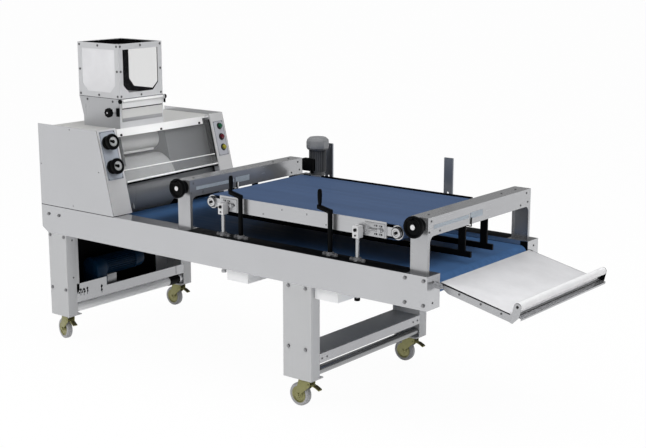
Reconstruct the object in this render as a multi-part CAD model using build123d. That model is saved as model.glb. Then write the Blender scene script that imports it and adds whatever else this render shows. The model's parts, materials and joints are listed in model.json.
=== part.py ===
from build123d import *
import math
import os

# Driving dimensions in millimetres
# X runs from the head to the outfeed, Y away from the operator's side, Z up from the floor

# Clearances
running = 0.06
sliding = 0.3
bolt_gap = 1.0

# Frame
frame_width = 1050
beam_length = 2790
beam_height = 168
beam_depth = 108
beam_sheet = 3
beam_lip = 62
beam_low_lip = 20
beam_cut_x = 50
beam_cut_z = 30
bearing_web = 90

# Legs
leg_height = 508
leg_depth = 70
leg_sheet = 3
leg_cap = 4
foot_depth = 100
foot_plate = 6
infeed_leg_x = 50
infeed_leg_width = 157
outfeed_leg_inset = 892
outfeed_leg_width = 187

# Motor tray between the infeed legs
tray_sheet = 3
tray_floor_height = 80
tray_front_near = 114
tray_front_far = 60
tray_step_y = 310
tray_back_height = 420
keyhole_radius = 6
keyhole_slot = 6
keyhole_length = 16
keyhole_pitch = 22
keyhole_count = 4
keyhole_first_y = 88
keyhole_drop = 58
hanger_hole_radius = 8
hanger_hole_slot = 8
hanger_hole_length = 34
hanger_hole_y = 267
hanger_hole_drop = 76

# Outfeed shelf
shelf_height = 135
shelf_lip = 50

# Cross tubes and lift covers
infeed_tube_radius = 24
infeed_tube_height = 37
outfeed_tube_radius = 11
outfeed_tube_height = 36
tube_inset = 8
cover_width = 150
cover_drop = 63
cover_inset = 25
cover_sheet = 2.5

# Lower conveyor
belt_drop = 24
belt_thickness = 3
lower_roller_radius = 40
lower_belt_margin = 4
tail_roller_inset = 41
drive_roller_inset = 46
bed_thickness = 8
bed_gap = 62
roller_wall = 5
roller_web = 20
journal_radius = 15
roller_face_gap = 2

# Main gearmotor
main_case_y = 245
main_case_length = 85
main_case_radius = 66
main_shaft_height = 163
main_motor_radius = 62
main_motor_length = 270
main_fan_length = 60
main_fan_step = 4
main_foot_width = 90

# Head
head_height = 487
head_top_length = 511
head_base_length = 633
head_sheet = 3
cover_recess = 24
cover_lip_gap = 4
near_fascia_width = 143
far_fascia_width = 117
fascia_return = 42
fascia_foot = 14

# Guard
guard_gap = 5
guard_far_gap = 12
guard_thickness = 5
strip_height = 46
strip_thickness = 4
strip_far_back = 56
hinge_drop = 16
hinge_depth = 16
hinge_radius = 7
hinge_pin_radius = 4
guard_bottom_v = 184
guard_fold_v = 251
guard_fold_out = 12
guard_overlap = 30

# Roller frame inside the head
lane_y = 236
lane_width = 338
cheek_thickness = 8
cheek_gap = 10
cheek_setback = 60
cheek_rear_x = 60
cheek_top_drop = 43
base_depth = 130
base_thickness = 6
axle_radius = 20
axle_tail = 8
sheet_roller_radius = 64
sheet_gap = 6
front_roller_w = -170
drum_radius = 175
drum_wall = 10
drum_v = 162
drum_w = -200
end_disc = 12
gap_close = 4
gap_open = 12
lug_half = 17
lug_thickness = 26
inner_cover_top = 20
inner_cover_foot = 30

# Gap knobs
knob_y = 62
upper_knob_v = 424
lower_knob_v = 283
knob_radius = 46
knob_length = 46
knob_standoff = 14
knob_stem = 10
screw_radius = 8
screw_tail = 30
flute_count = 12
flute_radius = 4

# Push buttons
button_inset = 50
start_v = 418
stop_v = 350
reset_v = 284
button_radius = 14
button_height = 14
button_stem = 8
button_stem_length = 22
button_travel = 4
bezel_height = 5

# Hopper
hopper_front_gap = 51
hopper_y = 235
hopper_side = 350
hopper_box_height = 320
throat_height = 176
throat_inset = 34
throat_slope = 118
hopper_sheet = 2.5
window_border = 34
window_corner = 44
pane_thickness = 4
flap_opening_low = 50
flap_opening_high = 132
flap_thickness = 4
flap_width_gap = 6
flap_lap = 8
pivot_radius = 6
pivot_cap_radius = 9
pivot_rise = 12
pivot_out = 10
pivot_cap = 10
ear_thickness = 6
star_back = 45
star_rise = 100
star_radius = 28
star_length = 26
star_stem = 8
star_boss = 16
star_boss_length = 34
star_lobes = 6
star_lobe_radius = 8

# Upper conveyor
upper_inset = 78
upper_far_gap = 190
upper_mid_height = 167
upper_plate_drop = 37
upper_plate_rise = 44
drive_plate_gap = 61
tail_plate_gap = 60
upper_sheet = 4
upper_roller_radius = 36
drive_portal_gap = 128
tail_portal_gap = 107
upper_journal = 10
end_cap_radius = 28
end_cap_length = 9
arm_thickness = 4
arm_height = 44
arm_overlap = 90
upper_bed_thickness = 2.5
upper_bed_gap = 1.5

# Upper gearmotor
gear_center_distance = 63
gear_box_depth = 95
gear_box_rear = 60
gear_box_front = 77
gear_box_drop = 63
gear_box_rise = 34
motor_standoff = 55
motor_flange_radius = 42
motor_flange = 12
motor_radius = 47
motor_length = 149
fan_radius = 68
fan_length = 64
terminal_reach = 90
terminal_width = 70
terminal_height = 76
terminal_rise = 28

# Lift rods, yokes and cranks
lift_y = 50
far_lift_inset = 75
infeed_rod_inset = 48
outfeed_rod_inset = 214
rod_radius = 10
rod_below = 22
rod_top_height = 164
rod_cap_radius = 14
rod_cap_length = 12
flange_half = 48
flange_radius = 24
flange_hub = 22
flange_thickness = 9
block_width = 36
block_depth = 40
block_height = 60
lift_shaft_height = 149
lift_shaft_radius = 10
lift_collar_radius = 16
arc_gap = 3.6
slot_length = 2.5
slot_lift = 0.2
crank_y = 56
infeed_crank_share = 2 / 15
outfeed_crank_back = 177
crank_shaft_radius = 12.5
crank_height = 234
crank_below = 190
crank_arm = 66
crank_rise = 20
crank_bar = 23
grip_radius = 12
grip_length = 78

# Far posts
post_inset = 32
post_width = 56
post_depth = 10
post_sheet = 3
post_height = 379
post_hole_radius = 6
post_hole_height = 185
infeed_post_back = 37.5
outfeed_post_back = 99.5

# Portals
portal_inset = 43
portal_height = 272
portal_beam = 92
portal_strip = 18
portal_sheet = 3
portal_corner = 34
portal_head_gap = 478
infeed_portal_depth = 92
outfeed_portal_inset = 129
outfeed_portal_depth = 99
guide_screw_drop = 40
guide_screw_radius = 8
handwheel_radius = 54
handwheel_rim = 24
handwheel_hub = 18
handwheel_out = 37
handwheel_web = 9
handwheel_dish = 41
handwheel_nub_radius = 8
handwheel_nub_length = 34
handwheel_nub_offset = 40

# Side guides
guide_half_spacing = 103
guide_nut_length = 40
guide_nut_side = 30
hanger_width = 40
hanger_thickness = 10
rail_height = 30
rail_thickness = 12
rail_above_belt = 34
rail_overhang = 54
rail_rear = 20

# Outfeed tray
tray_slope = 12.7
tray_length = 455
tray_side_gap = 102
tray_plate = 2.5
tray_flange = 40
tray_flange_back = 37
tray_lip = 12
tray_pivot_out = 13
tray_pivot_drop = 60
tray_pivot_radius = 6
tray_edge_back = 9
tray_edge_up = 15
tray_heel_length = 44
tray_heel_drop = 5
lug_plate = 8
lug_gap = 2.5
lug_side = 30
stop_back = 31
stop_rise = 47
stop_radius = 20
stop_bracket_width = 40
stop_bracket_plate = 5

# Castors
castor_height = 160
wheel_radius = 62.5
wheel_width = 36
wheel_hub_radius = 18
wheel_hub_width = 39
tread_radius = 8
castor_trail = 40
castor_y = 50
kingpin_radius = 8
swivel_radius = 34
swivel_thickness = 8
fork_inner = 41
fork_plate = 4
fork_top_length = 64
fork_foot_radius = 16
castor_axle_radius = 6
axle_head_radius = 10
axle_head = 4
pedal_pivot_x = 30
pedal_pivot_z = 132
pedal_pivot_radius = 4
pedal_length = 62
pedal_width = 30
pedal_thickness = 5
pedal_bend = 24
pedal_drop = 12
pedal_curl = 12
pedal_ear = 10
infeed_kingpin_inset = 88
outfeed_kingpin_inset = 115
near_infeed_swivel = -14

# Bolts
bolt_radius = 8
bolt_head = 6
bolt_flange = 2
bolt_edge = 14
infeed_bolt_inset = 18
outfeed_bolt_inset = 37
leg_bolt_drop = 13
leg_bolt_rise = 170
head_bolt_inset = 13
head_bolt_pitch = 91
head_bolt_drop = 54

# Derived heights
leg_top = castor_height + leg_height
beam_top = leg_top + beam_height
belt_top = beam_top - belt_drop
head_top = beam_top + head_height
tray_floor = castor_height + tray_floor_height
cover_z = head_top - cover_recess
hopper_low = cover_z
hopper_joint = hopper_low + throat_height
hopper_top = hopper_joint + hopper_box_height
upper_mid = beam_top + upper_mid_height
lift_shaft_z = beam_top + lift_shaft_height
portal_top = beam_top + portal_height
guide_screw_z = portal_top - guide_screw_drop
belt_half = (frame_width - 2 * beam_depth) / 2 - lower_belt_margin
mid_y = frame_width / 2
far_y = frame_width - beam_depth

# Places that follow from the frame's length and width
outfeed_leg_x = beam_length - outfeed_leg_inset
infeed_kingpin_x = infeed_leg_x + infeed_kingpin_inset
outfeed_kingpin_x = outfeed_leg_x + outfeed_kingpin_inset
tail_roller_x = head_base_length - tail_roller_inset
drive_roller_x = beam_length - drive_roller_inset
infeed_portal_x = head_base_length + portal_head_gap
outfeed_portal_x = beam_length - outfeed_portal_inset
upper_drive_x = infeed_portal_x + infeed_portal_depth + drive_portal_gap
upper_tail_x = outfeed_portal_x - tail_portal_gap
upper_plate_x = upper_drive_x + drive_plate_gap
upper_plate_end = upper_tail_x - tail_plate_gap
upper_width = frame_width - upper_inset - upper_far_gap
infeed_rod_x = upper_plate_x + infeed_rod_inset
outfeed_rod_x = upper_tail_x - outfeed_rod_inset
infeed_crank_x = infeed_rod_x + infeed_crank_share * (outfeed_rod_x - infeed_rod_x)
outfeed_crank_x = outfeed_rod_x - outfeed_crank_back
infeed_post_x = infeed_rod_x - infeed_post_back
outfeed_post_x = outfeed_rod_x - outfeed_post_back
button_y = frame_width - button_inset
hopper_x = head_top_length - hopper_front_gap - hopper_side
star_x = hopper_x + hopper_side - star_back
tray_width = frame_width - 2 * tray_side_gap

# Front plane of the head: local x along Y, local y up the slope, local z outwards
front_run = head_base_length - head_top_length
lean = math.atan2(front_run, head_height)
slope_length = math.hypot(front_run, head_height)
front = Plane(
    origin=(head_base_length, 0, beam_top),
    x_dir=(0, 1, 0),
    z_dir=(math.cos(lean), 0, math.sin(lean)),
)

# Overall box, which fixes the origin under its middle
tray_angle = math.radians(tray_slope)
tray_pivot_x = beam_length + tray_pivot_out
tray_pivot_z = beam_top - tray_pivot_drop
tray_end_x = tray_length - tray_edge_back
handwheel_near_y = portal_inset - handwheel_out - handwheel_rim - handwheel_nub_length
stop_x = tray_end_x - stop_back
stop_z = tray_edge_up + stop_rise
stop_reach = stop_x * math.cos(tray_angle) + stop_z * math.sin(tray_angle)
edge_reach = tray_end_x * math.cos(tray_angle) + tray_edge_up * math.sin(tray_angle)
stop_end_x = tray_pivot_x + max(stop_reach + stop_radius, edge_reach)
origin_x = stop_end_x / 2
origin_y = (handwheel_near_y + frame_width + bolt_head + bolt_flange) / 2


def box(x0, x1, y0, y1, z0, z1):
    """Block between two corners."""
    return Pos(x0, y0, z0) * Box(x1 - x0, y1 - y0, z1 - z0, align=(Align.MIN, Align.MIN, Align.MIN))


def rod_y(x, z, radius, y0, y1):
    """Round bar along Y."""
    bar = Cylinder(radius, y1 - y0, align=(Align.CENTER, Align.CENTER, Align.MIN))
    return Pos(x, y0, z) * Rot(-90, 0, 0) * bar


def rod_z(x, y, radius, z0, z1):
    """Upright round bar."""
    return Pos(x, y, z0) * Cylinder(radius, z1 - z0, align=(Align.CENTER, Align.CENTER, Align.MIN))


def rod_w(u, v, radius, w0, w1):
    """Round bar along the normal of the head's front plane."""
    bar = Cylinder(radius, w1 - w0, align=(Align.CENTER, Align.CENTER, Align.MIN))
    return front.location * Pos(u, v, w0) * bar


def front_box(u0, u1, v0, v1, w0, w1):
    """Block between two corners in the head's front plane."""
    block = Box(u1 - u0, v1 - v0, w1 - w0, align=(Align.MIN, Align.MIN, Align.MIN))
    return front.location * Pos(u0, v0, w0) * block


def front_point(v, w):
    """X and Z of a place given up the slope and out from the head's front plane."""
    x = head_base_length - v * math.sin(lean) + w * math.cos(lean)
    z = beam_top + v * math.cos(lean) + w * math.sin(lean)
    return x, z


def side_outline(points, y0, y1):
    """Prism along Y from an outline of X and Z points."""
    outline = Polygon(*[(x, z) for x, z in points], align=None)
    return Pos(0, y1, 0) * Rot(90, 0, 0) * extrude(outline, y1 - y0, dir=(0, 0, 1))


def mirrored(shape):
    """The same piece on the far side of the machine."""
    return mirror(shape, about=Plane(origin=(0, mid_y, 0), z_dir=(0, 1, 0)))


def group(*solids):
    """Separate solids that share one node."""
    return Compound(children=[piece for shape in solids for piece in shape.solids()])


def put(name, shape):
    """Write one node in the part's own frame."""
    export_step(Pos(-origin_x, -origin_y, 0) * shape, f"parts/{name}.step")


def belt_loop(x0, x1, z, inner_radius, thickness, y0, y1):
    """Endless belt round two rollers of the same size."""
    outer_radius = inner_radius + thickness
    outer = box(x0, x1, y0, y1, z - outer_radius, z + outer_radius)
    outer += rod_y(x0, z, outer_radius, y0, y1) + rod_y(x1, z, outer_radius, y0, y1)
    inner = box(x0, x1, y0, y1, z - inner_radius, z + inner_radius)
    inner += rod_y(x0, z, inner_radius, y0, y1) + rod_y(x1, z, inner_radius, y0, y1)
    return outer - inner


def journal_roller(x, z, radius, y0, y1, journal, end0, end1):
    """Conveyor roller: tube, middle web and a shaft with journals at both ends."""
    roller = rod_y(x, z, radius, y0, y1)
    middle = (y0 + y1) / 2
    for a, b in ((y0, middle - roller_web / 2), (middle + roller_web / 2, y1)):
        pocket = rod_y(x, z, radius - roller_wall, a, b) - rod_y(x, z, journal, a, b)
        roller -= pocket
    return roller + rod_y(x, z, journal, end0, end1)


def sleeve_roller(x, z, radius, wall, y0, y1):
    """Roller that turns on a standing axle, with a bored disc at each end."""
    roller = rod_y(x, z, radius, y0, y1)
    roller -= rod_y(x, z, radius - wall, y0 + end_disc, y1 - end_disc)
    return roller - rod_y(x, z, axle_radius + running, y0, y1)


# Side beams
lower_axis_z = belt_top - belt_thickness - sliding - lower_roller_radius
web_half = bearing_web / 2


def side_beam():
    """Folded box beam with lips, bearing webs and the tray's hinge lug, near side."""
    s = beam_sheet
    bottom = leg_top
    outline = [(0, beam_top), (beam_length, beam_top), (beam_length, bottom), (beam_cut_x, bottom)]
    outline.append((0, bottom + beam_cut_z))
    hollow = [(s, beam_top - s), (beam_length - s, beam_top - s), (beam_length - s, bottom + s)]
    hollow += [(beam_cut_x + s, bottom + s), (s, bottom + beam_cut_z + s)]
    beam = side_outline(outline, 0, beam_depth) - side_outline(hollow, s, beam_depth - s)
    window_low = bottom + beam_cut_z + beam_low_lip
    window_high = beam_top - beam_lip
    spans = [
        (beam_sheet + web_half, tail_roller_x - web_half),
        (tail_roller_x + web_half, drive_roller_x - web_half),
    ]
    for x0, x1 in spans:
        beam -= box(x0, x1, beam_depth - s, beam_depth, window_low, window_high)
    for x in (tail_roller_x, drive_roller_x):
        beam -= rod_y(x, lower_axis_z, journal_radius + running, beam_depth - s, beam_depth)
    lug_y1 = mid_y - tray_width / 2 - lug_gap
    lug_y0 = lug_y1 - lug_plate
    half = lug_side / 2
    lug = box(beam_length, tray_pivot_x, lug_y0, lug_y1, tray_pivot_z - half, tray_pivot_z + half)
    lug += rod_y(tray_pivot_x, tray_pivot_z, half, lug_y0, lug_y1)
    lug -= rod_y(tray_pivot_x, tray_pivot_z, tray_pivot_radius + running, lug_y0, lug_y1)
    return beam + lug


near_beam = side_beam()
far_beam = mirrored(near_beam)
far_lift_y = frame_width - far_lift_inset
crank_places = [(infeed_crank_x, crank_y), (outfeed_crank_x, crank_y)]
near_rods = [(infeed_rod_x, lift_y), (outfeed_rod_x, lift_y)]
far_rods = [(infeed_rod_x, far_lift_y), (outfeed_rod_x, far_lift_y)]
for x, y in crank_places:
    near_beam -= rod_z(x, y, crank_shaft_radius + bolt_gap, leg_top, beam_top)
for x, y in near_rods:
    near_beam -= rod_z(x, y, rod_radius + bolt_gap, leg_top, beam_top)
for x, y in far_rods:
    far_beam -= rod_z(x, y, rod_radius + bolt_gap, leg_top, beam_top)


def leg(x0, width, kingpin_x):
    """Folded leg with its cap and its castor foot plate, near side."""
    s = leg_sheet
    x1 = x0 + width
    post = box(x0, x1, 0, leg_depth, castor_height, leg_top)
    post -= box(x0 + s, x1 - s, s, leg_depth, castor_height, leg_top - leg_cap)
    post += box(x0, x1, 0, foot_depth, castor_height, castor_height + foot_plate)
    bore = rod_z(kingpin_x, castor_y, kingpin_radius + running, castor_height, castor_height + foot_plate)
    return post - bore


infeed_leg = leg(infeed_leg_x, infeed_leg_width, infeed_kingpin_x)
outfeed_leg = leg(outfeed_leg_x, outfeed_leg_width, outfeed_kingpin_x)
infeed_leg_end = infeed_leg_x + infeed_leg_width
outfeed_leg_end = outfeed_leg_x + outfeed_leg_width
inner_y0 = leg_depth
inner_y1 = frame_width - leg_depth


def keyhole(y, z, radius, slot, length):
    """Round hole with an upright slot above it, through the motor tray's front."""
    s = tray_sheet
    x1 = infeed_leg_end
    hole = Pos(x1 - s / 2, y, z) * Rot(0, 90, 0) * Cylinder(radius, 2 * s)
    return hole + box(x1 - s, x1, y - slot / 2, y + slot / 2, z, z + length)


def motor_tray():
    """Folded tray between the infeed legs: floor, high back and a stepped front with keyholes."""
    s = tray_sheet
    x0 = infeed_leg_x
    x1 = infeed_leg_end
    tray = box(x0, x1, inner_y0, inner_y1, tray_floor, tray_floor + s)
    tray += box(x0, x0 + s, inner_y0, inner_y1, tray_floor, tray_floor + tray_back_height)
    tray += box(x1 - s, x1, inner_y0, inner_y1, tray_floor, tray_floor + tray_front_far)
    tray += box(x1 - s, x1, inner_y0, tray_step_y, tray_floor, tray_floor + tray_front_near)
    front_top = tray_floor + tray_front_near
    for i in range(keyhole_count):
        y = keyhole_first_y + i * keyhole_pitch
        tray -= keyhole(y, front_top - keyhole_drop, keyhole_radius, keyhole_slot, keyhole_length)
    hanger_z = front_top - hanger_hole_drop
    return tray - keyhole(hanger_hole_y, hanger_z, hanger_hole_radius, hanger_hole_slot, hanger_hole_length)


def outfeed_shelf():
    """Shelf between the outfeed legs with a folded lip along each long side."""
    s = tray_sheet
    z1 = castor_height + shelf_height
    shelf = box(outfeed_leg_x, outfeed_leg_end, inner_y0, inner_y1, z1 - s, z1)
    for x in (outfeed_leg_x, outfeed_leg_end - s):
        shelf += box(x, x + s, inner_y0, inner_y1, z1 - shelf_lip, z1)
    return shelf


def lift_cover(x):
    """Trough across the machine that covers the lift chain under one crank."""
    s = cover_sheet
    half = cover_width / 2
    y0 = cover_inset
    y1 = frame_width - cover_inset
    z0 = leg_top - cover_drop
    cover = box(x - half, x + half, y0, y1, z0, leg_top)
    return cover - box(x - half + s, x + half - s, y0 + s, y1 - s, z0 + s, leg_top)


tube_y0 = leg_sheet
tube_y1 = frame_width - leg_sheet
infeed_tube_x = infeed_leg_end - leg_sheet - infeed_tube_radius - tube_inset
outfeed_tube_x = outfeed_leg_end - leg_sheet - outfeed_tube_radius - tube_inset
infeed_tube_z = castor_height + infeed_tube_height
outfeed_tube_z = castor_height + outfeed_tube_height
infeed_tube = rod_y(infeed_tube_x, infeed_tube_z, infeed_tube_radius, tube_y0, tube_y1)
outfeed_tube = rod_y(outfeed_tube_x, outfeed_tube_z, outfeed_tube_radius, tube_y0, tube_y1)
covers = [lift_cover(x) for x, y in crank_places]

# Lower conveyor
lower_y0 = mid_y - belt_half
lower_y1 = mid_y + belt_half
lower_inner = lower_roller_radius + sliding
lower_ends = (tail_roller_x, drive_roller_x)
lower_belt = belt_loop(*lower_ends, lower_axis_z, lower_inner, belt_thickness, lower_y0, lower_y1)
bed_top = belt_top - belt_thickness - sliding
bed_x0 = tail_roller_x + bed_gap
bed_x1 = drive_roller_x - bed_gap
belt_bed = box(bed_x0, bed_x1, beam_depth, far_y, bed_top - bed_thickness, bed_top)
journal_y0 = beam_depth - beam_sheet
journal_y1 = frame_width - journal_y0
roller_y0 = beam_depth + roller_face_gap
roller_y1 = far_y - roller_face_gap


def lower_roller(x):
    """One roller of the lower conveyor."""
    r = lower_roller_radius
    return journal_roller(x, lower_axis_z, r, roller_y0, roller_y1, journal_radius, journal_y0, journal_y1)


def main_gearmotor():
    """Round-topped gear case and the motor behind it in the motor tray, shaft line along Y."""
    x = (infeed_leg_x + infeed_leg_end) / 2
    z0 = tray_floor + tray_sheet
    z = z0 + main_shaft_height
    motor_y0 = main_case_y + main_case_length
    fan_y = motor_y0 + main_motor_length
    r = main_case_radius
    motor = box(x - r, x + r, main_case_y, motor_y0, z0, z) + rod_y(x, z, r, main_case_y, motor_y0)
    motor += rod_y(x, z, main_motor_radius, motor_y0, fan_y)
    motor += rod_y(x, z, main_motor_radius - main_fan_step, fan_y, fan_y + main_fan_length)
    foot = main_foot_width / 2
    middle = motor_y0 + main_motor_length / 2
    motor += box(x - foot, x + foot, middle - foot, middle + foot, z0, z)
    return motor


# Head shell
def head_panel():
    """Near side panel of the head, with the sloping front edge."""
    outline = [(0, beam_top), (head_base_length, beam_top), (head_top_length, head_top), (0, head_top)]
    return side_outline(outline, 0, head_sheet)


inner_head_y0 = head_sheet
inner_head_y1 = frame_width - head_sheet
near_fascia_end = inner_head_y0 + near_fascia_width
far_fascia_start = inner_head_y1 - far_fascia_width
hinge_v = slope_length - hinge_drop
fascia_top_back = front_point(slope_length, -fascia_return)[0]
throat_x0 = hopper_x + throat_inset
throat_x1 = hopper_x + hopper_side
throat_y0 = hopper_y
throat_y1 = hopper_y + hopper_side


def head_cover():
    """Top and rear of the head in one folded sheet, open under the hopper."""
    s = head_sheet
    h = hopper_sheet
    cover = box(0, s, inner_head_y0, inner_head_y1, beam_top, cover_z)
    cover += box(0, fascia_top_back, inner_head_y0, inner_head_y1, cover_z - s, cover_z)
    lip_x = front_point(hinge_v, -hinge_depth)[0] - hinge_radius - cover_lip_gap
    cover += box(0, lip_x, near_fascia_end, far_fascia_start, cover_z - s, cover_z)
    return cover - box(throat_x0 + h, throat_x1 - h, throat_y0 + h, throat_y1 - h, cover_z - s, cover_z)


def fascia(u0, u1, return_u):
    """One sloping front panel with the folded return beside the guard and a top return."""
    s = head_sheet
    panel = front_box(u0, u1, s, slope_length, -s, 0)
    panel += front_box(return_u, return_u + s, fascia_foot, slope_length, -fascia_return, 0)
    panel += front_box(u0, u1, slope_length - s, slope_length, -fascia_return, 0)
    hinge = front.location * Pos(return_u + s / 2, hinge_v, -hinge_depth)
    return panel - hinge * Rot(0, 90, 0) * Cylinder(hinge_pin_radius + running, 2 * s)


near_fascia = fascia(inner_head_y0, near_fascia_end, near_fascia_end - head_sheet)
for v in (upper_knob_v, lower_knob_v):
    near_fascia -= rod_w(knob_y, v, knob_stem + running, -head_sheet, 0)
far_fascia = fascia(far_fascia_start, inner_head_y1, far_fascia_start)
for v in (start_v, stop_v, reset_v):
    far_fascia += rod_w(button_y, v, button_radius + bezel_height, 0, bezel_height)
    far_fascia -= rod_w(button_y, v, button_radius + sliding, 0, bezel_height)
    far_fascia -= rod_w(button_y, v, button_stem + running, -head_sheet, 0)

# Guard
guard_u0 = near_fascia_end + guard_gap
guard_u1 = far_fascia_start - guard_far_gap
strip_u1 = guard_u1 - strip_far_back
strip_top = hinge_v + hinge_radius
strip_bottom = strip_top - strip_height


def guard_strip():
    """Hinge strip: front plate, rolled barrel and the pins at both ends."""
    strip = front_box(guard_u0, strip_u1, strip_bottom, strip_top, -strip_thickness, 0)
    web = hinge_radius / 2
    strip += front_box(guard_u0, strip_u1, hinge_v - web, hinge_v + web, -hinge_depth, -strip_thickness)
    line = front.location * Pos(0, hinge_v, -hinge_depth) * Rot(0, 90, 0)
    barrel = Pos(0, 0, (guard_u0 + strip_u1) / 2) * Cylinder(hinge_radius, strip_u1 - guard_u0)
    pin_u0 = near_fascia_end - head_sheet
    pin_u1 = far_fascia_start + head_sheet
    pin = Pos(0, 0, (pin_u0 + pin_u1) / 2) * Cylinder(hinge_pin_radius, pin_u1 - pin_u0)
    return strip + line * barrel + line * pin


def guard_panel():
    """Tinted sheet behind the strip, its lower edge folded outwards."""
    t = guard_thickness
    w = -strip_thickness
    top = strip_bottom + guard_overlap
    outline = [(top, w), (guard_fold_v, w), (guard_bottom_v, w + guard_fold_out)]
    outline += [(guard_bottom_v, w + guard_fold_out - t), (guard_fold_v, w - t), (top, w - t)]
    profile = Polygon(*outline, align=None)
    sheet = Plane(origin=(0, 0, 0), x_dir=(0, 1, 0), z_dir=(1, 0, 0)) * profile
    return front.location * Pos(guard_u0, 0, 0) * extrude(sheet, guard_u1 - guard_u0, dir=(1, 0, 0))


# Rollers in the head
cheek_y0 = lane_y - cheek_gap - cheek_thickness
cheek_y1 = lane_y + lane_width + cheek_gap
lane_end = lane_y + lane_width
front_x, front_z = front_point(upper_knob_v, front_roller_w)
drum_x, drum_z = front_point(drum_v, drum_w)
back_x = front_x - 2 * sheet_roller_radius - sheet_gap
back_z = front_z


def axle_slot(v, w):
    """Slot in both cheeks for an axle that slides along the knob's screw."""
    w0 = w - gap_close - sliding
    w1 = w + gap_open + sliding
    half = axle_radius + running
    reach = cheek_y1 + cheek_thickness
    slot = front_box(cheek_y0, reach, v - half, v + half, w0, w1)
    for end in (w0, w1):
        x, z = front_point(v, end)
        slot += rod_y(x, z, half, cheek_y0, reach)
    return slot


def roller_frame():
    """Two bearing cheeks on a base plate, the fixed back axle and the dark inner cover."""
    t = cheek_thickness
    low = beam_top + base_thickness
    high = cover_z - cheek_top_drop
    low_v = (low - beam_top + cheek_setback * math.sin(lean)) / math.cos(lean)
    high_v = (high - beam_top + cheek_setback * math.sin(lean)) / math.cos(lean)
    low_x = front_point(low_v, -cheek_setback)[0]
    high_x = front_point(high_v, -cheek_setback)[0]
    outline = [(cheek_rear_x, low), (low_x, low), (high_x, high), (cheek_rear_x, high)]
    frame = box(head_sheet, base_depth, inner_head_y0, inner_head_y1, beam_top, low)
    for y in (cheek_y0, cheek_y1):
        frame += side_outline(outline, y, y + t)
    cover_u1 = far_fascia_start - guard_gap
    cover_v1 = slope_length - cover_recess - inner_cover_top - hinge_drop
    depth = cheek_setback
    frame += front_box(cheek_y1, cover_u1, inner_cover_foot, cover_v1, -depth - head_sheet, -depth)
    frame -= axle_slot(upper_knob_v, front_roller_w)
    frame -= axle_slot(drum_v, drum_w)
    return frame + rod_y(back_x, back_z, axle_radius, cheek_y0, cheek_y1 + t)


axle_near = knob_y - lug_thickness / 2
axle_far = cheek_y1 + cheek_thickness + axle_tail
screw_bore = screw_radius + running


def front_roller_slide():
    """Sliding axle of the front sheeting roller, threaded on the upper knob's screw."""
    axle = rod_y(front_x, front_z, axle_radius, axle_near, axle_far)
    reach = 2 * axle_radius
    return axle - rod_w(knob_y, upper_knob_v, screw_bore, front_roller_w - reach, front_roller_w + reach)


def drum_slide():
    """Sliding axle of the drum with a lug up to the lower knob's screw."""
    axle = rod_y(drum_x, drum_z, axle_radius, axle_near, axle_far)
    half = lug_thickness / 2
    w0 = drum_w - lug_half
    w1 = drum_w + lug_half
    axle += front_box(knob_y - half, knob_y + half, drum_v, lower_knob_v + lug_half, w0, w1)
    return axle - rod_w(knob_y, lower_knob_v, screw_bore, w0, w1)


def gap_knob(v, screw_end):
    """Fluted knob with its stem and screw."""
    w0 = knob_standoff
    w1 = knob_standoff + knob_length
    knob = rod_w(knob_y, v, knob_radius, w0, w1)
    for i in range(flute_count):
        a = 2 * math.pi * i / flute_count
        u = knob_y + knob_radius * math.cos(a)
        knob -= rod_w(u, v + knob_radius * math.sin(a), flute_radius, w0, w1)
    knob += rod_w(knob_y, v, knob_stem, -head_sheet, w0)
    return knob + rod_w(knob_y, v, screw_radius, screw_end, -head_sheet)


def push_button(v):
    """Round push button whose stem passes through the far fascia."""
    top = button_travel + button_height
    cap = rod_w(button_y, v, button_radius, button_travel, top)
    return cap + rod_w(button_y, v, button_stem, -button_stem_length, button_travel)


# Hopper
def hopper_shell():
    """Window box on its throat, open at the top and the bottom."""
    s = hopper_sheet
    x0 = hopper_x
    x1 = throat_x1
    slope_z = hopper_joint - throat_slope
    outline = [(x0, hopper_top), (x1, hopper_top), (x1, hopper_low), (throat_x0, hopper_low)]
    outline += [(throat_x0, slope_z), (x0, hopper_joint)]
    hollow = [(x0 + s, hopper_top), (x1 - s, hopper_top), (x1 - s, hopper_low), (throat_x0 + s, hopper_low)]
    hollow += [(throat_x0 + s, slope_z), (x0 + s, hopper_joint)]
    shell = side_outline(outline, throat_y0, throat_y1) - side_outline(hollow, throat_y0 + s, throat_y1 - s)
    cutter = window_shape()
    mid_x = x0 + hopper_side / 2
    mid_hopper_y = throat_y0 + hopper_side / 2
    centre_z = (hopper_joint + hopper_top) / 2
    along_y = Pos(mid_x, mid_hopper_y, centre_z) * Rot(90, 0, 0)
    along_x = Pos(mid_x, mid_hopper_y, centre_z) * Rot(0, 0, 90) * Rot(90, 0, 0)
    for place in (along_y, along_x):
        shell -= place * extrude(cutter, hopper_side, both=True)
    opening_z0 = hopper_low + flap_opening_low
    opening_z1 = hopper_low + flap_opening_high
    inset = window_border
    shell -= box(x1 - s, x1, throat_y0 + inset, throat_y1 - inset, opening_z0, opening_z1)
    pivot_z = hopper_joint - pivot_rise
    ear = ear_thickness
    for y in (throat_y0, throat_y1 - ear):
        lug = box(x1, x1 + pivot_out + pivot_radius, y, y + ear, pivot_z - pivot_rise, pivot_z + pivot_rise)
        shell += lug - rod_y(x1 + pivot_out, pivot_z, pivot_radius + running, y, y + ear)
    star_z = hopper_low + star_rise
    shell += rod_y(star_x, star_z, star_boss, throat_y0 - star_boss_length, throat_y0)
    return shell - rod_y(star_x, star_z, star_stem + running, throat_y0 - star_boss_length, throat_y0 + s)


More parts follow.
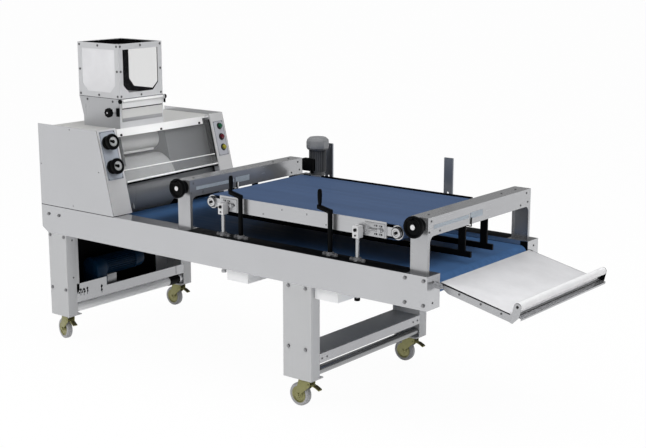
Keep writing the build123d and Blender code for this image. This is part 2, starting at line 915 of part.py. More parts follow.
def window_shape():
    """Window outline with the lower corners cut off at an angle."""
    half_w = hopper_side / 2 - window_border
    half_h = hopper_box_height / 2 - window_border
    c = window_corner
    points = [(-half_w, half_h), (half_w, half_h), (half_w, c - half_h), (half_w - c, -half_h)]
    points += [(c - half_w, -half_h), (-half_w, c - half_h)]
    return Polygon(*points, align=None)


def hopper_panes():
    """Four clear panes against the inside of the hopper walls."""
    s = hopper_sheet
    t = pane_thickness
    lap = window_border / 2
    z0 = hopper_joint + lap
    z1 = hopper_top - lap
    x0 = hopper_x + s
    x1 = throat_x1 - s
    y0 = throat_y0 + s
    y1 = throat_y1 - s
    panes = [
        box(x0, x0 + t, y0 + lap, y1 - lap, z0, z1),
        box(x1 - t, x1, y0 + lap, y1 - lap, z0, z1),
        box(x0 + lap, x1 - lap, y0, y0 + t, z0, z1),
        box(x0 + lap, x1 - lap, y1 - t, y1, z0, z1),
    ]
    return group(*panes)


flap_pivot_x = throat_x1 + pivot_out
flap_pivot_z = hopper_joint - pivot_rise


def hopper_flap():
    """Front flap hanging on its pivot rod, which has a round cap at each end."""
    y0 = throat_y0 + ear_thickness + flap_width_gap
    y1 = throat_y1 - ear_thickness - flap_width_gap
    x0 = throat_x1 + sliding
    z0 = hopper_low + flap_opening_low - flap_lap
    flap = box(x0, x0 + flap_thickness, y0, y1, z0, flap_pivot_z)
    flap += box(x0, flap_pivot_x, y0, y1, flap_pivot_z - pivot_radius, flap_pivot_z)
    near_end = throat_y0 - sliding
    far_end = throat_y1 + sliding
    flap += rod_y(flap_pivot_x, flap_pivot_z, pivot_radius, near_end, far_end)
    for y in (near_end - pivot_cap, far_end):
        flap += rod_y(flap_pivot_x, flap_pivot_z, pivot_cap_radius, y, y + pivot_cap)
    return flap


def flap_knob():
    """Star knob that locks the flap, on a stem in the throat's boss."""
    z = hopper_low + star_rise
    y1 = throat_y0 - star_boss_length - sliding
    y0 = y1 - star_length
    knob = rod_y(star_x, z, star_radius - star_lobe_radius / 2, y0, y1)
    for i in range(star_lobes):
        a = 2 * math.pi * i / star_lobes
        reach = star_radius - star_lobe_radius
        knob += rod_y(star_x + reach * math.cos(a), z + reach * math.sin(a), star_lobe_radius, y0, y1)
    return knob + rod_y(star_x, z, star_stem, y1, throat_y0 + hopper_sheet)


# Upper conveyor
upper_y0 = upper_inset
upper_y1 = upper_inset + upper_width
upper_inner = upper_roller_radius + sliding
upper_face_y0 = upper_y0 + upper_sheet + arm_thickness + roller_face_gap
upper_face_y1 = upper_y1 - upper_sheet - arm_thickness - roller_face_gap
upper_ends = (upper_drive_x, upper_tail_x)
upper_belt = belt_loop(*upper_ends, upper_mid, upper_inner, belt_thickness, upper_face_y0, upper_face_y1)


def upper_frame():
    """Two side plates joined by the slider beds, with bearing arms for the rollers."""
    s = upper_sheet
    x0 = upper_plate_x
    x1 = upper_plate_end
    low = upper_mid - upper_plate_drop
    high = upper_mid + upper_plate_rise
    bed_y0 = upper_y0 + s
    bed_y1 = upper_y1 - s
    frame = box(x0, x1, upper_y0, bed_y0, low, high) + box(x0, x1, bed_y1, upper_y1, low, high)
    reach = upper_inner - upper_bed_gap
    for z in (upper_mid - reach, upper_mid + reach - upper_bed_thickness):
        frame += box(x0, x1, bed_y0, bed_y1, z, z + upper_bed_thickness)
    arm = arm_height / 2
    for y in (bed_y0, bed_y1 - arm_thickness):
        for roller_x, plate_x in ((upper_drive_x, x0 + arm_overlap), (upper_tail_x, x1 - arm_overlap)):
            a = min(roller_x, plate_x)
            b = max(roller_x, plate_x)
            frame += box(a, b, y, y + arm_thickness, upper_mid - arm, upper_mid + arm)
            frame += rod_y(roller_x, upper_mid, arm, y, y + arm_thickness)
            frame -= rod_y(roller_x, upper_mid, upper_journal + running, y, y + arm_thickness)
    bore = lift_shaft_radius + running
    long = lift_shaft_radius + slot_length
    tall = lift_shaft_radius + slot_lift
    for y0, y1 in ((upper_y0, bed_y0 + arm_thickness), (bed_y1 - arm_thickness, upper_y1)):
        frame -= rod_y(infeed_rod_x, lift_shaft_z, bore, y0, y1)
        slot = box(-long, long, y0, y1, -tall, tall)
        frame -= Pos(outfeed_rod_x, 0, lift_shaft_z) * slot
    return frame


def upper_roller(x, far_end):
    """One roller of the upper conveyor, with a bright cap on its near end."""
    cap_y1 = upper_y0 + upper_sheet - sliding
    cap_y0 = cap_y1 - end_cap_length
    ends = (upper_face_y0, upper_face_y1, upper_journal, cap_y0, far_end)
    roller = journal_roller(x, upper_mid, upper_roller_radius, *ends)
    return roller + rod_y(x, upper_mid, end_cap_radius, cap_y0, cap_y1)


gear_y1 = upper_y1 + gear_box_depth
motor_x = upper_drive_x + gear_center_distance
motor_y = upper_y1 + motor_standoff


def upper_gearmotor():
    """Worm gearbox on the infeed roller's far journal with its motor standing upright."""
    x0 = upper_drive_x - gear_box_rear
    x1 = upper_drive_x + gear_box_front
    z1 = upper_mid + gear_box_rise
    unit = box(x0, x1, upper_y1, gear_y1, upper_mid - gear_box_drop, z1)
    body_z = z1 + motor_flange
    fan_z = body_z + motor_length
    unit += rod_z(motor_x, motor_y, motor_flange_radius, z1, body_z)
    unit += rod_z(motor_x, motor_y, motor_radius, body_z, fan_z)
    unit += rod_z(motor_x, motor_y, fan_radius, fan_z, fan_z + fan_length)
    half = terminal_width / 2
    terminal_z = z1 + terminal_rise
    terminal = box(-terminal_reach, 0, -half, half, terminal_z, terminal_z + terminal_height)
    unit += Pos(motor_x, motor_y, 0) * terminal
    return unit - rod_y(upper_drive_x, upper_mid, upper_journal + running, upper_y1, gear_y1)


# Lift rods, yokes and cranks
def oval_flange(x, y):
    """Flange plate with a round middle and two rounded ends, its length along X."""
    z1 = beam_top + flange_thickness
    end_radius = flange_radius / 2
    ends = flange_half - end_radius
    plate = rod_z(x, y, flange_hub, beam_top, z1)
    for side in (-1, 1):
        plate += rod_z(x + side * ends, y, end_radius, beam_top, z1)
    return plate + box(x - ends, x + ends, y - end_radius, y + end_radius, beam_top, z1)


def lift_rod(x, y):
    """Lift rod standing in its foot flange, with a cap below the beam."""
    low = leg_top - rod_below
    rod = rod_z(x, y, rod_radius, low, beam_top + rod_top_height) + oval_flange(x, y)
    return rod + rod_z(x, y, rod_cap_radius, low - rod_cap_length, low)


def crank_bearing(x, y):
    """Flange bearing that guides a crank's shaft on the beam."""
    bore = rod_z(x, y, crank_shaft_radius + running, beam_top, beam_top + flange_thickness)
    return oval_flange(x, y) - bore


def lift_yoke(x, bore_radius):
    """Block on each rod and the cross shaft between them, which carries the upper frame."""
    half = block_width / 2
    deep = block_depth / 2
    tall = block_height / 2
    low = lift_shaft_z - tall
    high = lift_shaft_z + tall
    yoke = rod_y(x, lift_shaft_z, lift_shaft_radius, lift_y + deep, far_lift_y - deep)
    yoke += rod_y(x, lift_shaft_z, lift_collar_radius, lift_y + deep, upper_y0 - sliding)
    yoke += rod_y(x, lift_shaft_z, lift_collar_radius, upper_y1 + sliding, far_lift_y - deep)
    for y in (lift_y, far_lift_y):
        block = box(x - half, x + half, y - deep, y + deep, low, high)
        yoke += block - rod_z(x, y, bore_radius, low, high)
    return yoke


def crank(x, y):
    """Hand crank: shaft, flat arm and an upright grip."""
    z1 = beam_top + crank_height
    shaft = rod_z(x, y, crank_shaft_radius, beam_top - crank_below, z1)
    half = crank_bar / 2
    outline = [(x + half, z1 - crank_bar), (x + half, z1), (x - crank_arm - half, z1 + crank_rise)]
    outline += [(x - crank_arm - half, z1 + crank_rise - crank_bar)]
    arm = side_outline(outline, y - half, y + half)
    grip_low = z1 + crank_rise - half
    grip = rod_z(x - crank_arm, y, grip_radius, grip_low, grip_low + grip_length + half)
    return shaft + arm + grip


def far_post(x):
    """Upright channel on the far beam, its web towards the belt."""
    s = post_sheet
    half = post_width / 2
    y1 = frame_width - post_inset
    y0 = y1 - post_depth
    z1 = beam_top + post_height
    post = box(x - half, x + half, y0, y1, beam_top, z1)
    post -= box(x - half + s, x + half - s, y0 + s, y1, beam_top, z1 - s)
    return post - rod_y(x, beam_top + post_hole_height, post_hole_radius, y0, y0 + s)


# Portals and side guides
portal_y0 = portal_inset
portal_y1 = frame_width - portal_inset


def portal(x0, depth):
    """Inverted trough across the machine with an arch in both faces."""
    s = portal_sheet
    x1 = x0 + depth
    body = box(x0, x1, portal_y0, portal_y1, beam_top, portal_top)
    body -= box(x0 + s, x1 - s, portal_y0 + s, portal_y1 - s, beam_top, portal_top - s)
    arch_y0 = portal_y0 + portal_strip
    arch_y1 = portal_y1 - portal_strip
    arch = box(x0, x1, arch_y0, arch_y1, beam_top, portal_top - portal_beam)
    corners = [edge for edge in arch.edges().filter_by(Axis.X) if edge.center().Z > beam_top + portal_strip]
    body -= fillet(corners, portal_corner)
    mid_x = (x0 + x1) / 2
    for y in (portal_y0, portal_y1 - s):
        body -= rod_y(mid_x, guide_screw_z, guide_screw_radius + running, y, y + s)
    return body


infeed_mid_x = infeed_portal_x + infeed_portal_depth / 2
outfeed_mid_x = outfeed_portal_x + outfeed_portal_depth / 2


def handwheel(x):
    """Dished handwheel with a turning nub, on the screw that moves the guides."""
    z = guide_screw_z
    y1 = portal_y0 - sliding
    rim_y1 = portal_y0 - handwheel_out
    rim_y0 = rim_y1 - handwheel_rim
    wheel = rod_y(x, z, handwheel_radius, rim_y0, rim_y1)
    wheel -= rod_y(x, z, handwheel_dish, rim_y0 + handwheel_web, rim_y1)
    wheel += rod_y(x, z, handwheel_hub, rim_y0, y1)
    nub_z = z + handwheel_nub_offset
    wheel += rod_y(x, nub_z, handwheel_nub_radius, rim_y0 - handwheel_nub_length, rim_y0)
    return wheel + rod_y(x, z, guide_screw_radius, y1, portal_y1)


rail_z0 = belt_top + rail_above_belt
rail_x0 = infeed_portal_x + rail_rear
rail_x1 = outfeed_mid_x + rail_overhang


def side_guide(y):
    """Guide rail hung from a nut on each portal's screw."""
    half = rail_thickness / 2
    guide = box(rail_x0, rail_x1, y - half, y + half, rail_z0, rail_z0 + rail_height)
    for x in (infeed_mid_x, outfeed_mid_x):
        nut = guide_nut_side / 2
        long = guide_nut_length / 2
        guide += box(x - nut, x + nut, y - long, y + long, guide_screw_z - nut, guide_screw_z + nut)
        bar = hanger_width / 2
        thin = hanger_thickness / 2
        guide += box(x - bar, x + bar, y - thin, y + thin, rail_z0, guide_screw_z - nut)
        guide -= rod_y(x, guide_screw_z, guide_screw_radius + running, y - long, y + long)
    return guide


# Outfeed tray, drawn level about its hinge and then tilted to its working slope
tray_place = Pos(tray_pivot_x, 0, tray_pivot_z) * Rot(0, tray_slope, 0)
tray_y0 = mid_y - tray_width / 2
tray_y1 = mid_y + tray_width / 2


def tray_sheet_metal():
    """Tray sheet with folded sides, an end lip and the two hinge pins."""
    t = tray_plate
    x0 = -tray_edge_back
    x1 = tray_end_x
    z1 = tray_edge_up
    z0 = z1 - tray_flange
    sheet = box(x0, x1, tray_y0, tray_y1, z1 - t, z1)
    side_end = x1 - tray_flange_back
    side = [(x0, z1), (side_end, z1), (side_end, z0), (tray_heel_length, z0), (x0, -tray_heel_drop)]
    for y in (tray_y0, tray_y1 - t):
        sheet += side_outline(side, y, y + t)
    sheet += box(x1 - t, x1, tray_y0, tray_y1, z1 - tray_lip, z1)
    reach = lug_gap + lug_plate
    sheet += rod_y(0, 0, tray_pivot_radius, tray_y0 - reach, tray_y0)
    return sheet + rod_y(0, 0, tray_pivot_radius, tray_y1, tray_y1 + reach)


def tray_stop():
    """Round stop bar across the end of the tray on a bracket at each side."""
    p = stop_bracket_plate
    half = stop_bracket_width / 2
    stop = rod_y(stop_x, stop_z, stop_radius, tray_y0 - p, tray_y1 + p)
    back = stop_x - half
    front_edge = stop_x + half
    low = tray_edge_up - tray_flange
    bracket = [(back, low), (tray_end_x - tray_flange_back, low), (front_edge, tray_edge_up)]
    bracket += [(front_edge, stop_z), (back, stop_z)]
    for y in (tray_y0 - p, tray_y1):
        stop += side_outline(bracket, y, y + p)
    return stop


# Castors
wheel_x = -castor_trail


def castor_place(x, y, swivel):
    """Location of one castor, turned about its kingpin."""
    return Pos(x, y, 0) * Rot(0, 0, swivel)


def castor_fork():
    """Swivel head, two side plates, kingpin and wheel axle."""
    top = castor_height - sliding
    low = top - swivel_thickness
    fork = rod_z(0, 0, swivel_radius, low, top)
    fork += rod_z(0, 0, kingpin_radius, top, castor_height + foot_plate)
    half = fork_inner / 2
    reach = fork_top_length / 2
    foot = fork_foot_radius
    ear_x = pedal_pivot_x + pedal_ear
    outline = [(-reach, low), (ear_x, low), (ear_x, pedal_pivot_z - pedal_ear)]
    outline += [(wheel_x + foot, wheel_radius), (wheel_x - foot, wheel_radius)]
    for y in (-half - fork_plate, half):
        fork += side_outline(outline, y, y + fork_plate)
        fork += rod_y(wheel_x, wheel_radius, foot, y, y + fork_plate)
        fork += box(-reach, reach, y, y + fork_plate, low, top)
    bridge = half + fork_plate
    fork += box(-reach, swivel_radius, -bridge, bridge, low, top)
    fork += rod_y(wheel_x, wheel_radius, castor_axle_radius, -half, half)
    for y in (-bridge - axle_head, bridge):
        fork += rod_y(wheel_x, wheel_radius, axle_head_radius, y, y + axle_head)
    for y in (-half - fork_plate, half):
        fork -= rod_y(pedal_pivot_x, pedal_pivot_z, pedal_pivot_radius + running, y, y + fork_plate)
    return fork


def castor_wheel():
    """Wheel with a rounded tread, bored for its axle."""
    wheel = rod_y(wheel_x, wheel_radius, wheel_radius, -wheel_width / 2, wheel_width / 2)
    rims = wheel.edges().filter_by(GeomType.CIRCLE).filter_by(lambda edge: edge.radius > wheel_hub_radius)
    wheel = fillet(rims, tread_radius)
    hub = wheel_hub_width / 2
    wheel += rod_y(wheel_x, wheel_radius, wheel_hub_radius, -hub, hub)
    return wheel - rod_y(wheel_x, wheel_radius, castor_axle_radius + running, -hub, hub)


def castor_pedal():
    """Brake pedal hinged between the fork plates, its tip bent down."""
    half = fork_inner / 2 + fork_plate
    lever = rod_y(pedal_pivot_x, pedal_pivot_z, pedal_pivot_radius, -half, half)
    t = pedal_thickness / 2
    x0 = pedal_pivot_x
    x2 = x0 + pedal_length
    x1 = x2 - pedal_bend
    z0 = pedal_pivot_z
    z1 = z0 - pedal_drop
    z2 = z1 - pedal_curl
    outline = [(x0, z0 - t), (x1, z1 - t), (x2, z2 - t), (x2, z2 + t), (x1, z1 + t), (x0, z0 + t)]
    return lever + side_outline(outline, -pedal_width / 2, pedal_width / 2)


castors = {
    "near_infeed": castor_place(infeed_kingpin_x, castor_y, near_infeed_swivel),
    "far_infeed": castor_place(infeed_kingpin_x, frame_width - castor_y, 0),
    "near_outfeed": castor_place(outfeed_kingpin_x, castor_y, 0),
    "far_outfeed": castor_place(outfeed_kingpin_x, frame_width - castor_y, 0),
}


# Bolts on the outer faces of the frame
def outer_bolt(x, z):
    """Flanged hexagon bolt head on the near face of the frame."""
    flange = rod_y(x, z, bolt_radius + bolt_flange, -bolt_flange, 0)
    hexagon = extrude(RegularPolygon(bolt_radius, 6), bolt_head)
    return flange + Pos(x, -bolt_flange, z) * Rot(90, 0, 0) * hexagon


bolt_inset = bolt_edge + bolt_radius
beam_row_high = beam_top - bolt_inset
beam_row_low = leg_top + bolt_inset + beam_sheet
leg_row_high = leg_top - leg_bolt_drop
leg_row_low = castor_height + leg_bolt_rise
bolt_places = []
infeed_edges = (infeed_leg_x, infeed_leg_end, infeed_bolt_inset)
outfeed_edges = (outfeed_leg_x, outfeed_leg_end, outfeed_bolt_inset)
for x0, x1, inset in (infeed_edges, outfeed_edges):
    for x in (x0 + inset, x1 - inset):
        bolt_places += [(x, leg_row_high), (x, leg_row_low)]
portal_end = outfeed_portal_x + outfeed_portal_depth
for x in (outfeed_portal_x, portal_end + bolt_radius):
    bolt_places += [(x, beam_row_high), (x, beam_row_low)]
for x in (infeed_leg_x + head_bolt_inset, infeed_leg_x + head_bolt_inset + head_bolt_pitch):
    bolt_places.append((x, beam_top - head_bolt_drop))
near_bolts = [outer_bolt(x, z) for x, z in bolt_places]
far_bolts = [mirrored(bolt) for bolt in near_bolts]

# Write the nodes
os.makedirs("parts", exist_ok=True)
put("side_beams", group(near_beam, far_beam))
put("legs", group(infeed_leg, mirrored(infeed_leg), outfeed_leg, mirrored(outfeed_leg)))
put("motor_tray", motor_tray())
put("outfeed_shelf", outfeed_shelf())
put("cross_members", group(infeed_tube, outfeed_tube, *covers))
put("belt_bed", belt_bed)
put("frame_bolts", group(*near_bolts, *far_bolts))
put("lower_belt", lower_belt)
put("lower_drive_roller", lower_roller(drive_roller_x))
put("lower_tail_roller", lower_roller(tail_roller_x))
put("main_gearmotor", main_gearmotor())
put("head_side_panels", group(head_panel(), mirrored(head_panel())))
put("head_cover", head_cover())
put("fascia_panels", group(near_fascia, far_fascia))
put("guard_panel", guard_panel())
put("guard_strip", guard_strip())
put("roller_frame", roller_frame())
put("back_roller", sleeve_roller(back_x, back_z, sheet_roller_radius, roller_wall, lane_y, lane_end))
put("front_roller", sleeve_roller(front_x, front_z, sheet_roller_radius, roller_wall, lane_y, lane_end))
put("front_roller_slide", front_roller_slide())
put("moulding_drum", sleeve_roller(drum_x, drum_z, drum_radius, drum_wall, lane_y, lane_end))
put("drum_slide", drum_slide())
put("upper_gap_knob", gap_knob(upper_knob_v, front_roller_w - screw_tail))
put("lower_gap_knob", gap_knob(lower_knob_v, drum_w - screw_tail))
put("start_button", push_button(start_v))
put("stop_button", push_button(stop_v))
put("reset_button", push_button(reset_v))
put("hopper_shell", hopper_shell())
put("hopper_windows", hopper_panes())
put("hopper_flap", hopper_flap())
put("flap_knob", flap_knob())
put("upper_frame", upper_frame())
put("upper_belt", upper_belt)
put("upper_drive_roller", upper_roller(upper_drive_x, gear_y1))
put("upper_tail_roller", upper_roller(upper_tail_x, upper_y1))
put("upper_gearmotor", upper_gearmotor())
rods = [lift_rod(x, y) for x, y in near_rods + far_rods]
bearings = [crank_bearing(x, y) for x, y in crank_places]
put("lift_fittings", group(*rods, *bearings))
put("infeed_lift_yoke", lift_yoke(infeed_rod_x, rod_radius + arc_gap))
put("outfeed_lift_yoke", lift_yoke(outfeed_rod_x, rod_radius + running))
put("infeed_crank", crank(infeed_crank_x, crank_y))
put("outfeed_crank", crank(outfeed_crank_x, crank_y))
put("far_posts", group(far_post(infeed_post_x), far_post(outfeed_post_x)))
portals = [portal(infeed_portal_x, infeed_portal_depth), portal(outfeed_portal_x, outfeed_portal_depth)]
put("guide_portals", group(*portals))
put("infeed_handwheel", handwheel(infeed_mid_x))
put("outfeed_handwheel", handwheel(outfeed_mid_x))
put("near_guide", side_guide(mid_y - guide_half_spacing))
put("far_guide", side_guide(mid_y + guide_half_spacing))
put("outfeed_tray", tray_place * group(tray_sheet_metal(), tray_stop()))
for name, place in castors.items():
    put(f"{name}_castor_fork", place * castor_fork())
    put(f"{name}_castor_wheel", place * castor_wheel())
    put(f"{name}_castor_pedal", place * castor_pedal())
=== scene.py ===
"""Looks of a bakery dough moulder: finishes, fittings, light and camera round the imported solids.

Shapes are given in millimetres from the machine's infeed corner on the floor, with X along the belt,
Y from the near side to the far side and Z up.
"""

import json
import logging
import math
from dataclasses import dataclass
from enum import Enum
from typing import Iterable, Optional, Sequence

import bmesh
import bpy
from mathutils import Matrix, Vector

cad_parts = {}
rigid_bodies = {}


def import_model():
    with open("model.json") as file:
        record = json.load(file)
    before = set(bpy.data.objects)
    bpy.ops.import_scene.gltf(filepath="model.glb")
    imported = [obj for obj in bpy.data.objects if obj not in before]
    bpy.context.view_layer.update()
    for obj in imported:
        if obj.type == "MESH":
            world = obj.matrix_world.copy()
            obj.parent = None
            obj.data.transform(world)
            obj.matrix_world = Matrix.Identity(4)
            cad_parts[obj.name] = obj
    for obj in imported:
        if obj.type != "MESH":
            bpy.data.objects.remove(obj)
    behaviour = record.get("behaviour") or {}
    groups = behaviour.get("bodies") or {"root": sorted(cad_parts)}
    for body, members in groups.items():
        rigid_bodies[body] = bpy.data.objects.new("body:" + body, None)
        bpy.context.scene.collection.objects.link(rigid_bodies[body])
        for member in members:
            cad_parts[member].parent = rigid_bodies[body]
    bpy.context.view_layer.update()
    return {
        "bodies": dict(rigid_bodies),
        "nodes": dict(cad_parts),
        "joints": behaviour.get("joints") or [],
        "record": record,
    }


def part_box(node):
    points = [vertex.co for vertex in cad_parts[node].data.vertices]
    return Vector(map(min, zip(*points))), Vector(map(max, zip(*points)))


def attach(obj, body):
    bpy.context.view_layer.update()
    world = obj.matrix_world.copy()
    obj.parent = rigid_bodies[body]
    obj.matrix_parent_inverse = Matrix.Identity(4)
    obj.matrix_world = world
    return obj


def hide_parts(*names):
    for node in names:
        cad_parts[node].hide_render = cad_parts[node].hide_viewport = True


LOG = logging.getLogger("moulder")
MM = 0.001
WHITE = (1.0, 1.0, 1.0, 1.0)
Flat = tuple[float, float]
Point = tuple[float, float, float]
Box = tuple[Point, Point]
Corners = tuple[float, float, float, float]
Outline = Sequence[Flat]
Colour = tuple[float, float, float]
Socket = bpy.types.NodeSocket


# Shared shader effects


class Board:
    """Short calls that place and join nodes in one node tree."""

    def __init__(self, tree: bpy.types.NodeTree) -> None:
        """Keep the tree that the nodes go into."""
        self.tree = tree

    def add(self, kind: str, inputs: Optional[dict] = None, **settings: object) -> bpy.types.Node:
        """Place one node.

        Args:
            kind: Node type's identifier.
            inputs: Sockets to join or fixed values, by the input's name or number.
            settings: Properties of the node itself.

        Returns:
            The new node.
        """
        node = self.tree.nodes.new(kind)
        for name, value in settings.items():
            setattr(node, name, value)
        for name, value in (inputs or {}).items():
            if isinstance(value, Socket):
                self.tree.links.new(value, node.inputs[name])
            else:
                node.inputs[name].default_value = value
        return node

    def math(self, operation: str, *values: object) -> Socket:
        """Work out one sum on sockets and fixed numbers."""
        return self.add("ShaderNodeMath", dict(enumerate(values)), operation=operation).outputs[0]

    def spread(self, mask: Socket, low: float, high: float) -> Socket:
        """Stretch a mask from nought to one over a range of numbers."""
        ends = {"Value": mask, "To Min": low, "To Max": high}
        return self.add("ShaderNodeMapRange", ends).outputs["Result"]

    def blend(self, mask: Socket, first: Colour, second: Colour) -> Socket:
        """Mix two colours by a mask."""
        ends = {0: mask, 6: (*first, 1.0), 7: (*second, 1.0)}
        return self.add("ShaderNodeMix", ends, data_type="RGBA").outputs[2]


class Paint(Board):
    """Board of one material, with its surface shader and its object coordinates."""

    def __init__(self, material: bpy.types.Material) -> None:
        """Find the shader and place the coordinates.

        Args:
            material: Material that uses nodes.
        """
        super().__init__(material.node_tree)
        self.shader = material.node_tree.nodes["Principled BSDF"]
        self.coords = self.add("ShaderNodeTexCoord").outputs["Object"]

    def surface(self, name: str, source: Socket) -> None:
        """Join a value to an input of the surface shader."""
        self.tree.links.new(source, self.shader.inputs[name])

    def along(self, axis: str) -> Socket:
        """Give one of the object coordinates in metres."""
        return self.add("ShaderNodeSeparateXYZ", {0: self.coords}).outputs[axis]

    def wave(self, direction: str, scale: float, distortion: float) -> Socket:
        """Give a mask of even bands."""
        inputs = {"Vector": self.coords, "Scale": scale, "Distortion": distortion}
        return self.add("ShaderNodeTexWave", inputs, bands_direction=direction).outputs["Fac"]

    def bump(self, height: Socket, strength: float, depth: float) -> None:
        """Raise the surface by a height mask, with the relief's depth in metres."""
        node = self.add("ShaderNodeBump", {"Strength": strength, "Distance": depth, "Height": height})
        self.surface("Normal", node.outputs["Normal"])


class Effect(Enum):
    """Node groups that several finishes share, each as its name and its noise's detail."""

    BRUSHED_LINES = ("brushed_lines", 3.0)
    SOFT_CLOUD = ("soft_cloud", 4.0)
    FINE_SKIN = ("fine_skin", 1.0)

    def group(self) -> bpy.types.NodeTree:
        """Give the node group, built on its first use.

        Returns:
            The group's node tree, with a Vector and a Stretch input and a Mask output.
        """
        name, detail = self.value
        found = bpy.data.node_groups.get(name)
        if found:
            return found
        tree = bpy.data.node_groups.new(name, "ShaderNodeTree")
        for entry in ("Vector", "Stretch"):
            tree.interface.new_socket(entry, in_out="INPUT", socket_type="NodeSocketVector")
        tree.interface.new_socket("Mask", in_out="OUTPUT", socket_type="NodeSocketFloat")
        board = Board(tree)
        entries = board.add("NodeGroupInput").outputs
        factors = {0: entries["Vector"], 1: entries["Stretch"]}
        scaled = board.add("ShaderNodeVectorMath", factors, operation="MULTIPLY").outputs[0]
        grain = {"Vector": scaled, "Scale": 1.0, "Detail": detail, "Roughness": 0.6}
        noise = board.add("ShaderNodeTexNoise", grain).outputs["Fac"]
        contrast = {"Value": noise, "From Min": 0.25, "From Max": 0.75}
        mask = board.add("ShaderNodeMapRange", contrast, interpolation_type="SMOOTHSTEP")
        board.add("NodeGroupOutput", {"Mask": mask.outputs["Result"]})
        return tree

    def place(self, paint: Paint, stretch: Point) -> Socket:
        """Put the group into a material, with its repeats per metre along each axis."""
        inputs = {"Vector": paint.coords, "Stretch": stretch}
        return paint.add("ShaderNodeGroup", inputs, node_tree=self.group()).outputs["Mask"]


class Grain(Enum):
    """Direction of the brushing on sheet metal, as repeats per metre along X, Y and Z."""

    ALONG_X = (2.5, 260.0, 260.0)
    ALONG_Y = (260.0, 2.5, 260.0)
    ALONG_Z = (260.0, 260.0, 2.5)
    NONE = (90.0, 90.0, 90.0)


def shade(colour: Colour, share: float) -> Colour:
    """Darken or lighten a linear colour, to at most one in each channel."""
    return tuple(min(1.0, channel * share) for channel in colour)


# Finishes


@dataclass(frozen=True)
class Finish:
    """A plain finish: what all others start from."""

    name: str
    colour: Colour
    rough: float = 0.5
    metal: float = 0.0
    gloss: float = 0.5
    slot: str = "stainless"

    def material(self) -> bpy.types.Material:
        """Give the finish's material, made on its first use.

        Returns:
            The material.
        """
        found = bpy.data.materials.get(self.name)
        if found:
            return found
        made = bpy.data.materials.new(self.name)
        made.use_nodes = True
        made.diffuse_color = (*self.colour, 1.0)
        paint = Paint(made)
        values = {"Metallic": self.metal, "Roughness": self.rough, "Specular IOR Level": self.gloss}
        for name, value in values.items():
            paint.shader.inputs[name].default_value = value
        self.dress(paint)
        return made

    def tint(self, paint: Paint, mask: Socket, low: float, high: float) -> Socket:
        """Mix two shades of the colour by a mask."""
        return paint.blend(mask, shade(self.colour, low), shade(self.colour, high))

    def dress(self, paint: Paint) -> None:
        """Add the finish's own nodes: here faint clouds.

        Args:
            paint: Board of the material.
        """
        cloud = Effect.SOFT_CLOUD.place(paint, (9.0, 9.0, 9.0))
        paint.surface("Base Color", self.tint(paint, cloud, 0.94, 1.05))
        paint.surface("Roughness", paint.spread(cloud, self.rough - 0.04, self.rough + 0.04))


@dataclass(frozen=True)
class SheetSteel(Finish):
    """Brushed stainless sheet with faint clouds from handling."""

    grain: Grain = Grain.ALONG_X
    contrast: float = 0.025

    def dress(self, paint: Paint) -> None:
        """Add brushing to colour, gloss and relief.

        Args:
            paint: Board of the material.
        """
        lines = Effect.BRUSHED_LINES.place(paint, self.grain.value)
        cloud = Effect.SOFT_CLOUD.place(paint, (2.2, 2.2, 2.2))
        tone = paint.math("MULTIPLY_ADD", lines, 0.45, paint.math("MULTIPLY", cloud, 0.55))
        paint.surface("Base Color", self.tint(paint, tone, 1.0 - self.contrast, 1.0 + self.contrast))
        paint.surface("Roughness", paint.spread(tone, self.rough + 0.05, self.rough - 0.05))
        paint.bump(lines, 0.06, 0.0004)


@dataclass(frozen=True)
class Skin(Finish):
    """Paint or moulded plastic with a fine skin."""

    pitch: float = 700.0
    relief: float = 0.12

    def dress(self, paint: Paint) -> None:
        """Add a fine skin and faint clouds."""
        super().dress(paint)
        paint.bump(Effect.FINE_SKIN.place(paint, (self.pitch,) * 3), self.relief, 0.0003)


@dataclass(frozen=True)
class BeltCloth(Finish):
    """Coated belt: long faint streaks over a fine weave, with painted light and shade as shares of its colour
    along X.
    """

    painted_light_stops: tuple[Flat, ...] = ((0, 1), (3000, 1))

    def dress(self, paint: Paint) -> None:
        """Add streaks and the painted light and shade along X to the colour, and the weave to the relief.

        Args:
            paint: Board of the material.
        """
        streaks = Effect.BRUSHED_LINES.place(paint, (0.8, 34.0, 34.0))
        layers = {0: 1.0, 6: self.tint(paint, streaks, 0.9, 1.1), 7: self._painted_light_run(paint)}
        streaks_and_painted_light = paint.add("ShaderNodeMix", layers, data_type="RGBA", blend_type="MULTIPLY")
        paint.surface("Base Color", streaks_and_painted_light.outputs[2])
        paint.surface("Roughness", paint.spread(streaks, self.rough - 0.05, self.rough + 0.05))
        paint.bump(paint.wave("DIAGONAL", 420.0, 1.5), 0.08, 0.0003)

    def _painted_light_run(self, paint: Paint) -> Socket:
        """Give the painted light and shade along the belt, as a share of the full colour.

        Args:
            paint: Board of the material.

        Returns:
            The share's socket.
        """
        start = self.painted_light_stops[0][0]
        span = self.painted_light_stops[-1][0] - start
        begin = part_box("side_beams")[0].x + start * MM
        along = paint.math("DIVIDE", paint.math("SUBTRACT", paint.along("X"), begin), span * MM)
        ramp = paint.add("ShaderNodeValToRGB", {"Fac": along})
        stops = ramp.color_ramp.elements
        for x, _ in self.painted_light_stops[1:-1]:
            stops.new((x - start) / span)
        for stop, (_, share) in zip(stops, self.painted_light_stops):
            stop.color = (share, share, share, 1.0)
        return ramp.outputs["Color"]


@dataclass(frozen=True)
class ThreadedSteel(Finish):
    """Screw rod: fine ridges along Y."""

    def dress(self, paint: Paint) -> None:
        """Add the ridges to colour and relief.

        Args:
            paint: Board of the material.
        """
        ridges = paint.wave("Y", 80.0, 0.0)
        paint.surface("Base Color", self.tint(paint, ridges, 0.6, 1.0))
        paint.bump(ridges, 0.5, 0.001)


